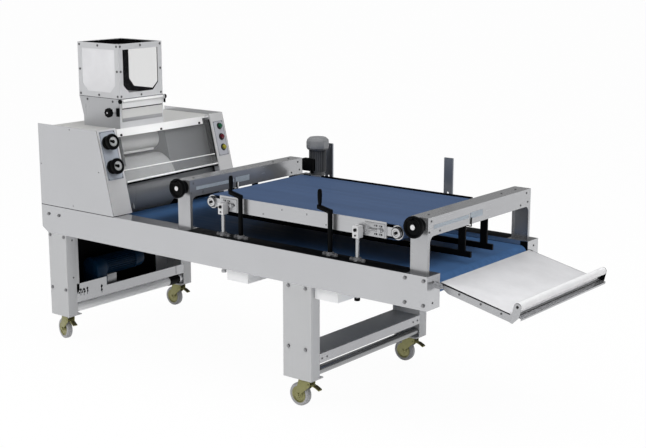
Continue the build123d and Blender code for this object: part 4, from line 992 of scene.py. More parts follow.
@dataclass
class SheetingHead(Assembly):
    """Housing, guard, rollers, gap knobs and push buttons of the head.

    Plates, knobs, buttons and the guard's trim are placed on the leaning front: across it from the near
    side, up it from its foot, and out of it.
    """

    knob_plate: Corners = (16, 208, 134, 492)
    button_plate: Corners = (948, 232, 1037, 452)
    plate_depth: float = 1.5
    line_inset: float = 3
    line_width: float = 2.4
    seal: Box = ((886, 186, -9), (930.5, 470, -6))
    guard_sides: Flat = (151.5, 917.5)
    strip_screws: Point = (180, 502, 829)
    strip_screw_rise: float = 456
    fold: Flat = (249, 255)
    edge_rises: Corners = (178, 186.5, 196, 187.5)
    lip_rises: Corners = (166, 175, 184.4, 177)
    drum: Flat = (399.63, 944.54)
    drum_radius: float = 175
    lit_top_y: Flat = (161, 573)
    lit_top_arc: Flat = (18, 82)
    skirt_y: Flat = (164, 236)
    scraper: Box = ((436, 165, 1145), (442, 517, 1158))
    pan: Box = ((20, 113, 738), (545, 937, 741))
    apron: Box = ((528, 113, 808), (591, 937, 811.4))
    knob_across: float = 62
    knob_hub: Outline = ((0, 1.8), (38, 1.8), (40, 4), (40, 17), (37, 20), (29, 21), (29, 33), (38, 35))
    knob_rim: Outline = ((44, 37), (45, 39), (45, 55), (42, 59), (37, 60), (30, 58), (26, 54), (0, 50))
    knob_rib: Box = ((44.2, -1.6, 40), (46, 1.6, 55))
    knob_dial: Outline = ((0, 49), (25.6, 53.8), (27, 56.6), (26, 57.6), (0, 52.8))
    knob_boss: Outline = ((0, 52), (10, 52), (10, 58), (8, 59.6), (0, 60))
    pointer: Outline = ((-6, -8), (26, -7), (26, 7), (-6, 8))
    pointer_turn: float = 165
    mark_z: Flat = (55.4, 57.7)
    button_across: float = 1000
    button_cap: Outline = ((0, 6.6), (14, 6.6), (14, 14.5), (13.2, 16.6), (11, 17.6), (0, 18))
    collar_top: Outline = ((14.6, 5), (14.6, 7.4), (16, 8.2), (19.4, 7))
    collar_skirt: Outline = ((21, 4), (21.6, 1.4), (19.1, 1.4), (19.1, 5))

    def build(self) -> None:
        """Dress the head and add its fittings."""
        self.coat(BEAM_STEEL, "head_side_panels")
        self.coat(COVER_STEEL, "head_cover")
        self.coat(PALE_STEEL, "fascia_panels")
        self.coat(WHITE_STRIP_AND_HIGHLIGHT, "guard_strip")
        self.coat(GUARD_TINT, "guard_panel")
        self.coat(DARK_PAINT, "roller_frame")
        self.coat(ROLLER_COAT, "front_roller", "back_roller")
        self.coat(DRUM_COAT, "moulding_drum")
        self.coat(BRIGHT_STEEL, "front_roller_slide", "drum_slide")
        self._plates()
        self._guard_trim()
        self._drum_space()
        self._knob("upper_gap_knob", 424, -200)
        self._knob("lower_gap_knob", 283, -230)
        self._buttons()

    def _plates(self) -> None:
        """Bare plates behind the knobs and the buttons, with their screws and border lines."""
        depth, screws, lines = self.plate_depth, Form(), Form()
        plates = (
            ("knob_plate", PLATE_BLUE, self.knob_plate, 8),
            ("button_plate", PLATE_LILAC, self.button_plate, 7),
        )
        for name, finish, corners, inset in plates:
            Form().plate(oblong(*corners), depth, HEAD_FRONT, corner=5).finish(name, finish)
            spots = oblong(*shrunk(corners, inset))
            screws.screws([HEAD_FRONT @ slide(u, v, depth) for u, v in spots], 3.4, Head.FLAT)
            self._border(lines, shrunk(corners, self.line_inset))
        screws.finish("plate_screws", SCREW_STEEL)
        lines.finish("plate_lines", PLATE_LINE)
        Form().block(*self.seal, HEAD_FRONT).finish("guard_side_seal", RUBBER_AND_PAINTED_SHADE)

    def _border(self, lines: Form, corners: Corners) -> None:
        """Line along each side of a plate.

        Args:
            lines: Form that the lines are added to.
            corners: Outer corners of the lines.
        """
        (u0, v0, u1, v1), wide, depth = corners, self.line_width, self.plate_depth
        flat = ((u0, v0, u1, v0 + wide), (u0, v1 - wide, u1, v1))
        tall = ((u0, v0, u0 + wide, v1), (u1 - wide, v0, u1, v1))
        for left, low, right, high in flat + tall:
            lines.block((left, low, depth - 0.3), (right, high, depth + 0.3), HEAD_FRONT)

    def _band(self, rises: Corners) -> list[Flat]:
        """Outline across the guard, from the rises of its corners."""
        left, right = self.guard_sides
        return list(zip((left, right, right, left), rises))

    def _guard_trim(self) -> None:
        """Strip screws, a bright strip along the guard's fold as painted highlight, a bright edge band lower
        down, and the soft lip of the guard.
        """
        (left, right), (low, high), body = self.guard_sides, self.fold, "guard"
        spots = [HEAD_FRONT @ slide(u, self.strip_screw_rise, 0) for u in self.strip_screws]
        Form().screws(spots, 7, Head.SOCKET).finish("strip_screws", DARK_STEEL, body)
        # Painted highlight: bright strip along the guard's fold.
        form = Form().block((left, low, -4), (right, high, -1.4), HEAD_FRONT, soften=0.8)
        form.plate(self._band(self.edge_rises), 3.4, HEAD_FRONT @ slide(0, 0, 7), soften=1)
        form.finish("guard_highlight_and_edge", WHITE_STRIP_AND_HIGHLIGHT, body)
        form = Form().plate(self._band(self.lip_rises), 7, HEAD_FRONT @ slide(0, 0, 2), soften=1.5)
        form.finish("guard_lip", RUBBER_AND_PAINTED_SHADE, body)

    def _drum_space(self) -> None:
        """Painted light: a pale shell over the drum's upper front that makes its top lighter; its near skirt,
        the scraper, and the dark pan and belt apron below.
        """
        (start, end), (near, far), r = self.lit_top_arc, self.lit_top_y, self.drum_radius
        lit_shell = arc(self.drum, r + 4, start, end, 16) + arc(self.drum, r + 2, end, start, 16)
        form = Form().plate(lit_shell, far - near, Face.NEAR.at(0, far, 0))
        form.finish("drum_top_painted_light", DRUM_TOP_LIGHT_GREY, "drum_slide")
        Form().block(*self.scraper, soften=2).finish("scraper_bar", ROLLER_COAT)
        (near, far), r = self.skirt_y, self.drum_radius - 0.6
        skirt = [(r - 40, near), (r - 2, near), (r, near + 2), (r, far), (r - 40, far)]
        form = Form().turned(skirt, Face.FAR.at(self.drum[0], 0, self.drum[1]), 64)
        form.finish("drum_skirt", DRUM_COAT, "moulding_drum")
        Form().block(*self.pan).finish("head_pan", RUBBER_AND_PAINTED_SHADE)
        Form().block(*self.apron, soften=1).finish("belt_apron", LOWER_CLOTH)

    def _knob(self, node: str, rise: float, reach: float) -> None:
        """Gap knob: waisted hub, ribbed rim, dial with marks and pointer, and its screw.

        Args:
            node: Solid and body that it stands for.
            rise: Height up the front.
            reach: Far end of its screw behind the front.
        """
        axis = HEAD_FRONT @ slide(self.knob_across, rise, 0)
        form = Form().turned(self.knob_hub + self.knob_rim, axis, 40).ribs(*self.knob_rib, axis, 30)
        form.finish(f"{node}_body", BLACK_PLASTIC, node, node)
        Form().turned(self.knob_dial, axis, 40).finish(f"{node}_dial", DIAL_GREY, node)
        low, high = self.mark_z
        form = Form()
        for step, turn in enumerate(turns(20)):
            form.block((22.5 if step % 5 else 20, -0.6, low), (25, 0.6, high), axis @ turn)
        aim = axis @ Matrix.Rotation(math.radians(self.pointer_turn), 4, "Z") @ slide(0, 0, 52.5)
        form.plate(self.pointer, 6, aim, corner=2, soften=0.8).turned(self.knob_boss, axis, 24)
        form.finish(f"{node}_marks", BLACK_PLASTIC, node)
        form = Form().rod(10, 5, axis @ slide(0, 0, -3)).rod(8, -3 - reach, axis @ slide(0, 0, reach), 1)
        form.finish(f"{node}_screw", BRIGHT_STEEL, node)

    def _buttons(self) -> None:
        """Push buttons with domed caps, and the dark collars round them."""
        buttons = (
            ("start_button", 418, GLOSS_GREEN),
            ("stop_button", 350, GLOSS_RED),
            ("reset_button", 284, GLOSS_YELLOW),
        )
        collars = Form()
        for node, rise, finish in buttons:
            axis = HEAD_FRONT @ slide(self.button_across, rise, 0)
            form = Form().turned(self.button_cap, axis).rod(8, 29, axis @ slide(0, 0, -22), 1)
            form.finish(f"{node}_cap", finish, node, node)
            collars.turned(self.collar_top + self.collar_skirt, axis)
        collars.finish("button_collars", DARK_STEEL, slot="black_plastic")


@dataclass
class Hopper(Assembly):
    """Window box, throat, flap and star knob."""

    low: Point = (110, 235, 1475)
    high: Point = (460, 585, 1795)
    screw_inset: float = 15
    throat_screw_x: Flat = (181, 400)
    throat_screw_drop: float = 17
    shade_band: float = 34
    shade_depth: float = 2
    wall: float = 6.6
    brace: float = 44
    border: float = 24
    corner_cut: float = 40
    throat_inset: float = 35
    throat_drop: Point = (3, 117, 174)
    clamp: Box = ((438, 223, 1374), (459.5, 235.5, 1424))
    pivot: Flat = (470, 1463)
    flap_inset: float = 14
    flap_fold_highlight: Corners = (464.4, 1421, 468, 1461)
    flap_shadow_line: Corners = (464.2, 1415, 465.4, 1421.4)
    flap_hem: Corners = (464, 1341.5, 466.4, 1363)
    pivot_cap: Outline = ((0, 0), (12.5, 0), (13, 1), (13, 10), (11, 12), (0, 12.4))
    star: Flat = (415, 1399)
    star_boss: float = 34.3
    star_body: Outline = ((0, 0), (23, 0), (26, 4), (26, 21), (23, 25), (0, 26))
    star_lobe: Outline = ((0, 0.5), (4.5, 0.5), (6, 3), (6, 21), (4, 24.5), (0, 25.5))
    star_lobe_radius: float = 22
    star_mark: Outline = ((0, 25), (5, 25.4), (5, 25.8), (0, 26))

    def build(self) -> None:
        """Dress the hopper and add its fittings."""
        self.coat(HOPPER_STEEL, "hopper_shell")
        self.coat(PANE_CLEAR, "hopper_windows")
        self.coat(COVER_STEEL, "hopper_flap")
        self._screws()
        self._inner_shade()
        self._film()
        self._trim()
        self._flap()
        self._star()

    def _screws(self) -> None:
        """Eight screws round each window and two at the throat's joint."""
        (x0, y0, z0), (x1, y1, z1), inset = self.low, self.high, self.screw_inset
        edges = ((0, 0), (0, 0.5), (0, 1), (0.5, 0), (0.5, 1), (1, 0), (1, 0.5), (1, 1))
        spots = []
        for share, rise in edges:
            z = z0 + inset + rise * (z1 - z0 - 2 * inset)
            along = inset + share * (x1 - x0 - 2 * inset)
            spots += both_sides(x0 + along, z, y0, y1)
            spots += [Face.INFEED.at(x0, y0 + along, z), Face.OUTFEED.at(x1, y0 + along, z)]
        for x in self.throat_screw_x:
            spots += both_sides(x, z0 - self.throat_screw_drop, y0, y1)
        Form().screws(spots, 7).finish("hopper_screws", SCREW_STEEL)

    def _inner_shade(self) -> None:
        """Painted shade inside the hopper: dark bands round the far wall's window, with corner braces, and a
        strip on the infeed wall.
        """
        (x0, y0, z0), (x1, y1, z1), wide = self.low, self.high, self.shade_band
        left, right, low, high = x0 + 2 * wide, x1 - wide, z0 + wide, z1 - wide
        wall, depth, brace = self.wall, self.shade_depth, self.brace
        back, foot, head = y1 - wall, z0 + 4, z1 - 3
        form = Form()
        sides = ((x0 + wall, foot, left, head), (right, foot, x1 - wall, head))
        for start, under, end, over in (*sides, (left, foot, right, low), (left, high, right, head)):
            form.block((start, back - depth, under), (end, back, over))
        for x, reach in ((left, brace), (right, -brace)):
            form.plate([(x, low), (x + reach, low), (x, low + brace)], depth, Face.NEAR.at(0, back, 0))
        form.block((x0 + wall, y0 + 8, high), (x0 + wall + depth, y1 - 9, head))
        form.finish("hopper_inner_painted_shade", RUBBER_AND_PAINTED_SHADE)

    def _film(self) -> None:
        """Milky film on the near window."""
        (x0, y0, z0), (x1, _, z1) = self.low, self.high
        edge, cut = self.border, self.border + self.corner_cut
        left = [(x0 + edge, z1 - edge), (x0 + edge, z0 + cut), (x0 + cut, z0 + edge)]
        right = [(x1 - cut, z0 + edge), (x1 - edge, z0 + cut), (x1 - edge, z1 - edge)]
        Form().plate(left + right, 0.6, Face.NEAR.at(0, y0 + 2, 0)).finish("near_pane_film", PANE_MILKY)

    def _trim(self) -> None:
        """Darker throat sides, the joint line, and the clamp block behind the star knob."""
        (x0, y0, z0), (x1, y1, _), inset = self.low, self.high, self.throat_inset
        top, bend, foot = (z0 - drop for drop in self.throat_drop)
        throat = [(x0 + 1, top), (x0 + inset, bend), (x0 + inset, foot), (x1 - 1, foot), (x1 - 1, top)]
        form = Form().plate(throat, 0.5, Face.NEAR.at(0, y0, 0))
        form.plate([(-x, z) for x, z in reversed(throat)], 0.5, Face.FAR.at(0, y1, 0))
        form.finish("throat_sides", THROAT_STEEL)
        form, low, high = Form(), z0 - 1.4, z0 + 1.4
        for y in (y0 - 0.4, y1 - 0.2):
            form.block((x0 + 1, y, low), (x1 - 1, y + 0.6, high))
        for x in (x0 - 0.4, x1 - 0.2):
            form.block((x, y0, low), (x + 0.6, y1, high))
        form.finish("hopper_joint_line", SLOT_AND_SHADE_BLACK)
        Form().block(*self.clamp, soften=2.5).finish("flap_clamp_block", BLACK_PLASTIC)

    def _across(self, form: Form, corners: Corners, soften: float = 0) -> Form:
        """Add a block as long as the flap.

        Args:
            form: Form that it is added to.
            corners: Its low X and Z and its high X and Z.
            soften: Width of the rounding on its edges.

        Returns:
            The form itself.
        """
        x0, z0, x1, z1 = corners
        near, far = self.low[1] + self.flap_inset, self.high[1] - self.flap_inset
        return form.block((x0, near, z0), (x1, far, z1), soften=soften)

    def _flap(self) -> None:
        """Pivot rod and fold over it, brighter than the flap as painted highlight, a painted shadow line
        under the fold, the hem at its foot and the pivot's caps.
        """
        (x, z), y0, y1, inset, body = self.pivot, self.low[1], self.high[1], self.flap_inset, "hopper_flap"
        form = Form().rod(9, y1 - y0 - 2 * inset, Face.FAR.at(x, y0 + inset, z), 1, 28)
        self._across(form, self.flap_fold_highlight, 1.2).finish("flap_fold_highlight", WHITE_STRIP_AND_HIGHLIGHT, body)
        self._across(Form(), self.flap_shadow_line).finish("flap_shadow_line", SLOT_AND_SHADE_BLACK, body)
        self._across(Form(), self.flap_hem, 0.8).finish("flap_hem", HEM_STEEL, body)
        form = Form()
        for place in both_sides(x, z, y0 - 0.4, y1 + 0.4):
            form.turned(self.pivot_cap, place, 24)
        form.block((x - 7, y1 + 0.6, z - 37), (x + 7, y1 + 6.6, z - 1), soften=1.5)
        form.finish("flap_pivot_caps", BLACK_PLASTIC, body)

    def _star(self) -> None:
        """Lobed clamp knob on its stem."""
        (x, z), boss, body = self.star, self.star_boss, "flap_knob"
        axis = Face.NEAR.at(x, self.low[1] - boss, z)
        form = Form().turned(self.star_body, axis, 40)
        for turn in turns(8):
            form.turned(self.star_lobe, axis @ (turn @ slide(self.star_lobe_radius, 0, 0)), 18)
        form.finish("star_knob", BLACK_PLASTIC, body, body)
        form = Form().turned(self.star_mark, axis, 20)
        form.rod(8, boss + 2.3, axis @ slide(0, 0, -boss - 2.3), 0.8)
        form.finish("star_knob_stem", BRIGHT_STEEL, body)


@dataclass
class PressingConveyor(Assembly):
    """Upper belt unit with its gearmotor, lift rods, cranks and far posts.

    A bracket is given by its outer and inner end, and a slot by its reach from the outer end and its rise
    from the rollers' axis. A plate screw is given by its X and that rise.
    """

    body: str = "upper_unit"
    plates: Flat = (78, 860)
    plate_screws: Outline = ((1828, 19), (1994, 17), (1700, -20), (2120, -20))
    axis_z: float = 1003
    infeed_bracket: Flat = (1404, 1516)
    outfeed_bracket: Flat = (2486, 2362)
    bracket_rise: Flat = (-33, 34)
    slots: Outline = ((14, 20), (44, 20), (14, -22), (44, -22))
    slot_length: float = 20
    adjuster: Flat = (8, 96)
    edge_strip: Box = ((1470, 852, 1040), (2494, 862.5, 1051))
    edge_block: Box = ((1338, 852, 1028), (1391, 860, 1047))
    rollers: Flat = (1331, 2554)
    roller_end: float = 72.8
    roller_ring: Outline = ((14, 0), (16, 2.2), (24, 2.2), (26.5, 0))
    roller_gap: Outline = ((26.6, 0.1), (26.6, 0.6), (28.1, 0.2), (28.1, -3), (27.6, -3))
    blocks: Flat = (30, 995)
    block_screw_z: Flat = (996, 968)
    rods: Flat = (1440, 2340)
    feet: Flat = (50, 975)
    foot_top: float = 845
    foot_screw: float = 37
    lens: Flat = (48, 21.5)
    collar: Outline = ((13.2, 0), (21, 0), (21, 5), (18, 9), (13.2, 9))
    nut: Outline = ((9, 0), (14, 0), (15, 1), (15, 13), (14, 14), (9, 14))
    nut_z: float = 633
    cranks: Flat = (1560, 2163)
    crank_feet: Flat = (674, 646)
    crank_y: float = 56
    crank_knee: Outline = ((12.5, 1050), (14.5, 1052), (14.5, 1068), (11, 1072), (0, 1072))
    crank_arm: Outline = ((11.5, 1047.5), (11.5, 1070), (-77.5, 1090), (-77.5, 1067.5))
    arm_width: float = 23
    crank_throw: float = 66
    crank_neck: Outline = ((0, 1078), (8, 1078), (8, 1093), (9.5, 1095), (11, 1110))
    crank_grip: Outline = ((12, 1135), (11.4, 1155), (9, 1166), (5, 1168), (0, 1168))
    gearbox: Box = ((1271, 860, 940), (1408, 955, 1036.5))
    gear_cover: Outline = ((0, 0), (46, 0), (48, 3), (48, 8), (34, 10), (0, 10))
    motor: Flat = (1394, 915)
    motor_flange: Outline = ((0, 1036), (40, 1036), (42, 1038), (42, 1047), (40, 1049), (0, 1049))
    motor_z: Flat = (1049, 1201)
    motor_fin: Box = ((41, -1.4, 1062), (51, 1.4, 1194))
    motor_shield: Outline = ((0, 1188), (52, 1188), (62, 1194), (63, 1202), (0, 1202))
    cowl: Outline = ((0, 1202), (67, 1202), (68, 1206), (68, 1240), (65, 1248), (49, 1262), (0, 1262))
    cowl_turn: float = 18
    terminal_box: Box = ((1328, 848, 1068), (1408, 884, 1141))
    terminal_lid: Box = ((1333, 845, 1073), (1403, 849, 1136))
    gland: Outline = ((0, 0), (10, 0), (10, 8), (8, 14), (0, 14))
    gland_place: Point = (1392, 866, 1069)

    def build(self) -> None:
        """Dress the conveyor and add its fittings."""
        self.coat(UNIT_STEEL, "upper_frame")
        self.coat(UPPER_CLOTH, "upper_belt")
        self.coat(BRIGHT_STEEL, "upper_drive_roller", "upper_tail_roller")
        self.coat(CROSS_STEEL, "lift_fittings")
        self.coat(PALE_STEEL, "infeed_lift_yoke", "outfeed_lift_yoke")
        self.coat(SHADED_STEEL, "far_posts")
        self._brackets()
        self._edge_strip()
        self._yoke_screws()
        self._foot_flanges()
        self._roller_ends()
        for node, x, foot in zip(("infeed_crank", "outfeed_crank"), self.cranks, self.crank_feet):
            self._crank(node, x, foot)
        self._gearmotor()
        self._motor_top()

    def _brackets(self) -> None:
        """Slotted tension brackets at ends of the plates, with bolts and adjusting screws."""
        plates, slots, bolts, z = Form(), Form(), Form(), self.axis_z
        near, far = both_sides(0, 0, *self.plates)
        mirrored = tuple(-x for x in self.outfeed_bracket)
        brackets = ((near, self.infeed_bracket), (near, self.outfeed_bracket), (far, mirrored))
        foot, head = self.bracket_rise
        for place, (outer, inner) in brackets:
            inward = math.copysign(1, inner - outer)
            low, high = sorted((outer, inner))
            plates.plate(oblong(low, z + foot, high, z + head), 3, place, corner=4, soften=0.8)
            for reach, rise in self.slots:
                low, high = sorted((outer + inward * reach, outer + inward * (reach + self.slot_length)))
                slot = oblong(low, z + rise - 4, high, z + rise + 4)
                slots.plate(slot, 0.5, place @ slide(0, 0, 2.9), corner=3.6)
                bolts.screws([place @ slide((low + high) / 2, z + rise, 3.2)], 4.2, Head.SOCKET, 10)
            low, high = sorted(outer + inward * reach for reach in self.adjuster)
            bolts.rod(6, high - low, place @ directed((low, z, 10), (0, 1, 0), (0, 0, 1)), 1, 16)
            bolts.block((high - 26, z - 10, 3), (high - 8, z + 10, 19), place, soften=1.2)
        for x, rise in self.plate_screws:
            bolts.screws(both_sides(x, z + rise, *self.plates), 5)
        plates.finish("tension_brackets", CROSS_STEEL, self.body)
        slots.finish("bracket_slots", SLOT_AND_SHADE_BLACK, self.body)
        bolts.finish("bracket_bolts", CROSS_STEEL, self.body)

    def _edge_strip(self) -> None:
        """Black edging on the far plate and its corner block."""
        form = Form().block(*self.edge_strip, soften=1.5).block(*self.edge_block, soften=2)
        form.finish("far_edge_strip", RUBBER_AND_PAINTED_SHADE, self.body)

    def _roller_ends(self) -> None:
        """Grooved end caps of the rollers with a dark centre screw."""
        for node, x in zip(("upper_drive_roller", "upper_tail_roller"), self.rollers):
            axis = Face.NEAR.at(x, self.roller_end, self.axis_z)
            Form().turned(self.roller_ring, axis).finish(f"{node}_ring", BRIGHT_STEEL, node)
            form = Form().screws([axis], 8, Head.SOCKET, 16).turned(self.roller_gap, axis)
            form.finish(f"{node}_screw", DARK_STEEL, node)

    def _yoke_screws(self) -> None:
        """Black socket screws in the lift blocks."""
        large_z, small_z = self.block_screw_z
        for node, x in zip(("infeed_lift_yoke", "outfeed_lift_yoke"), self.rods):
            form = Form().screws(both_sides(x, large_z, *self.blocks), 8.5, Head.SOCKET, 16)
            form.screws(both_sides(x, small_z, *self.blocks), 4.5, Head.SOCKET)
            form.finish(f"{node}_screws", DARK_STEEL, node)

    def _foot_flanges(self) -> None:
        """Lens-shaped flanges with collars and screws under the rods and cranks, and a rod's nut."""
        spots = [(x, y) for x in self.rods for y in self.feet] + [(x, self.crank_y) for x in self.cranks]
        top, reaches = self.foot_top, (-self.foot_screw, self.foot_screw)
        screws = [Face.TOP.at(x + reach, y, top + 1) for x, y in spots for reach in reaches]
        form = Form().screws(screws, 6, Head.SOCKET)
        lens = [(self.lens[0] * x, self.lens[1] * y) for x, y in arc((0, 0), 1, 0, 360, 32)[:-1]]
        for x, y in spots:
            form.plate(lens, 1, Face.TOP.at(x, y, top))
            form.turned(self.collar, Face.TOP.at(x, y, top + 0.5), 28)
        form.finish("foot_flanges", FLANGE_STEEL)
        form = Form().turned(self.nut, Face.TOP.at(self.rods[1], self.feet[0], self.nut_z), 24)
        form.finish("lift_rod_nut", BLACK_COAT)

    def _crank(self, node: str, x: float, foot: float) -> None:
        """Hand crank: shaft, cranked arm and a swelling grip.

        Args:
            node: Solid and body that it stands for.
            x: Place along the machine.
            foot: Height of the shaft's foot.
        """
        base = Face.TOP.at(x, self.crank_y, 0)
        shaft = ((0, foot), (11.5, foot), (12.5, foot + 2))
        form = Form().turned(shaft + self.crank_knee, base, 24)
        side = Face.NEAR.at(x, self.crank_y + self.arm_width / 2, 0)
        form.plate(self.crank_arm, self.arm_width, side, soften=4)
        form.turned(self.crank_neck + self.crank_grip, base @ slide(-self.crank_throw, 0, 0), 24)
        form.finish(f"{node}_handle", BLACK_COAT, node, node)

    def _gearmotor(self) -> None:
        """Worm gearbox with an upright ribbed motor."""
        axis, (low, high) = Face.TOP.at(*self.motor, 0), self.motor_z
        form = Form().block(*self.gearbox, soften=8, steps=3)
        form.turned(self.gear_cover, Face.FAR.at(self.rollers[0], self.gearbox[1][1], self.axis_z))
        form.turned(self.motor_flange, axis, 40).rod(43, high - low, axis @ slide(0, 0, low), 0, 40)
        form.ribs(*self.motor_fin, axis, 28).turned(self.motor_shield, axis, 40)
        form.finish("upper_motor", MOTOR_GREY, self.body, "upper_gearmotor")

    def _motor_top(self) -> None:
        """Flat-sided fan cowl and the terminal box with its gland."""
        axis = Face.TOP.at(*self.motor, 0) @ Matrix.Rotation(math.radians(self.cowl_turn), 4, "Z")
        Form().turned(self.cowl, axis, 10).finish("upper_motor_cowl", COWL_GREY, self.body)
        form = Form().block(*self.terminal_box, soften=5, steps=3).block(*self.terminal_lid, soften=1.5)
        form.turned(self.gland, Face.UNDER.at(*self.gland_place), 12)
        form.finish("terminal_box", BLACK_PLASTIC, self.body)


@dataclass
class SideGuides(Assembly):
    """Two portals, the guide rails hung in them and the handwheels that set them."""

    portals: tuple[Flat, Flat] = ((1111, 1203), (2661, 2760))
    portal_top: float = 1108
    scales: tuple[Corners, Corners] = ((92, 1050, 398, 1068), (412, 1044, 528, 1075))
    end_screws: Outline = ((72, 1089), (54, 1038), (145, 1032), (963, 1089), (978, 1040), (905, 1032))
    top_screw_y: Point = (120, 790, 930)
    screw_z: float = 1068
    screw_end: float = 1007
    screw_ring: Outline = ((8.2, 0), (15, 0), (15, 3), (12, 5), (8.2, 5))
    hanger_shift: float = 20
    pointer_y: Flat = (416, 424)
    pointer_z: Flat = (1004, 1050)
    tab_z: Flat = (1006, 1046)
    boss: Outline = ((19.5, 12), (35, 12), (37, 14), (37, 42.8), (19.5, 42.8))
    hub_end: float = 42.7
    dish: Outline = ((0, -14), (13, -14), (17, -11), (19, -8), (39, -8), (42, -14), (46, -18), (50.5, -17.6))
    rim: Outline = ((53.4, -14), (54, -8), (54, -1), (51, 4.6), (47, 6), (43, 3.4), (40, 0))
    hub: Outline = ((19, 0), (18, 8), (18, 40))
    nub: Outline = ((0, -52), (5, -52), (8, -49), (8.4, -40), (6.4, -26), (6.4, -15), (0, -15))
    nub_radius: float = 40
    cap: Outline = ((0, -18.6), (9, -18), (13, -15), (13, -13.5), (0, -13.5))

    def build(self) -> None:
        """Dress the guides and add their fittings."""
        self.coat(CROSS_STEEL, "guide_portals")
        self.coat(BLACK_COAT, "near_guide", "far_guide")
        axes = [Face.FAR.at((x0 + x1) / 2, 0, self.screw_z) for x0, x1 in self.portals]
        self._scales()
        self._screws(axes)
        self._pointers()
        self._bosses(axes)
        for node, axis in zip(("infeed_handwheel", "outfeed_handwheel"), axes):
            self._handwheel(node, axis)

    def _scales(self) -> None:
        """Scale strips on the outfeed side of the portals."""
        form = Form()
        for _, x in self.portals:
            for strip in self.scales:
                form.plate(oblong(*strip), 1, Face.OUTFEED.at(x, 0, 0), corner=2)
        form.finish("scale_strips", SCALE_BLUE)

    def _screws(self, axes: Sequence[Matrix]) -> None:
        """Small screws at the ends of the portals, and rings round the ends of the guide screws.

        Args:
            axes: Frames whose Z is a guide screw's axis.
        """
        form = Form()
        for (x0, x1), axis in zip(self.portals, axes):
            places = [Face.OUTFEED.at(x1, y, z) for y, z in self.end_screws]
            places += [Face.INFEED.at(x0, y, z) for y, z in self.end_screws]
            places += [Face.TOP.at((x0 + x1) / 2, y, self.portal_top) for y in self.top_screw_y]
            form.screws(places, 5.5).turned(self.screw_ring, axis @ slide(0, 0, self.screw_end), 24)
        form.finish("portal_screws", SCREW_STEEL)

    def _pointers(self) -> None:
        """Black pointers that the near guide carries along the scales, one with a white tab."""
        (near, far), (low, high), body = self.pointer_y, self.pointer_z, "near_guide"
        form = Form()
        for x0, x1 in self.portals:
            hanger = (x0 + x1) / 2 + self.hanger_shift
            form.block((hanger - 2, near, low), (x1 + 4.5, far, low + 4))
            form.block((x1 + 1.6, near, low), (x1 + 4.6, far, high), soften=0.6)
        form.finish("scale_pointers", BLACK_COAT, body)
        x, (low, high) = self.portals[0][1], self.tab_z
        form = Form().block((x + 1.6, far + 0.2, low), (x + 4, far + 10, high), soften=0.6)
        form.finish("infeed_pointer_tab", WHITE_PLASTIC, body)

    def _bosses(self, axes: Sequence[Matrix]) -> None:
        """Black bosses on the portals behind the handwheels.

        Args:
            axes: Frames whose Z is a guide screw's axis.
        """
        form = Form()
        for axis in axes:
            form.turned(self.boss, axis, 40)
        form.finish("handwheel_bosses", BLACK_PLASTIC)

    def _handwheel(self, node: str, axis: Matrix) -> None:
        """Dished handwheel with a white cap, a turning nub and the guide screw.

        Args:
            node: Solid and body that it stands for.
            axis: Frame whose Z is the screw's axis.
        """
        end = self.hub_end
        wheel = self.dish + self.rim + self.hub + ((16, end), (0, end))
        quarter = Matrix.Rotation(math.radians(90), 4, "Z")
        form = Form().turned(wheel, axis, 48)
        form.turned(self.nub, axis @ quarter @ slide(self.nub_radius, 0, 0), 20)
        form.finish(f"{node}_wheel", BLACK_PLASTIC, node, node)
        Form().turned(self.cap, axis, 24).finish(f"{node}_cap", WHITE_PLASTIC, node)
        form = Form().rod(8, self.screw_end - end, axis @ slide(0, 0, end), 1)
        form.finish(f"{node}_screw", THREAD_STEEL, node)


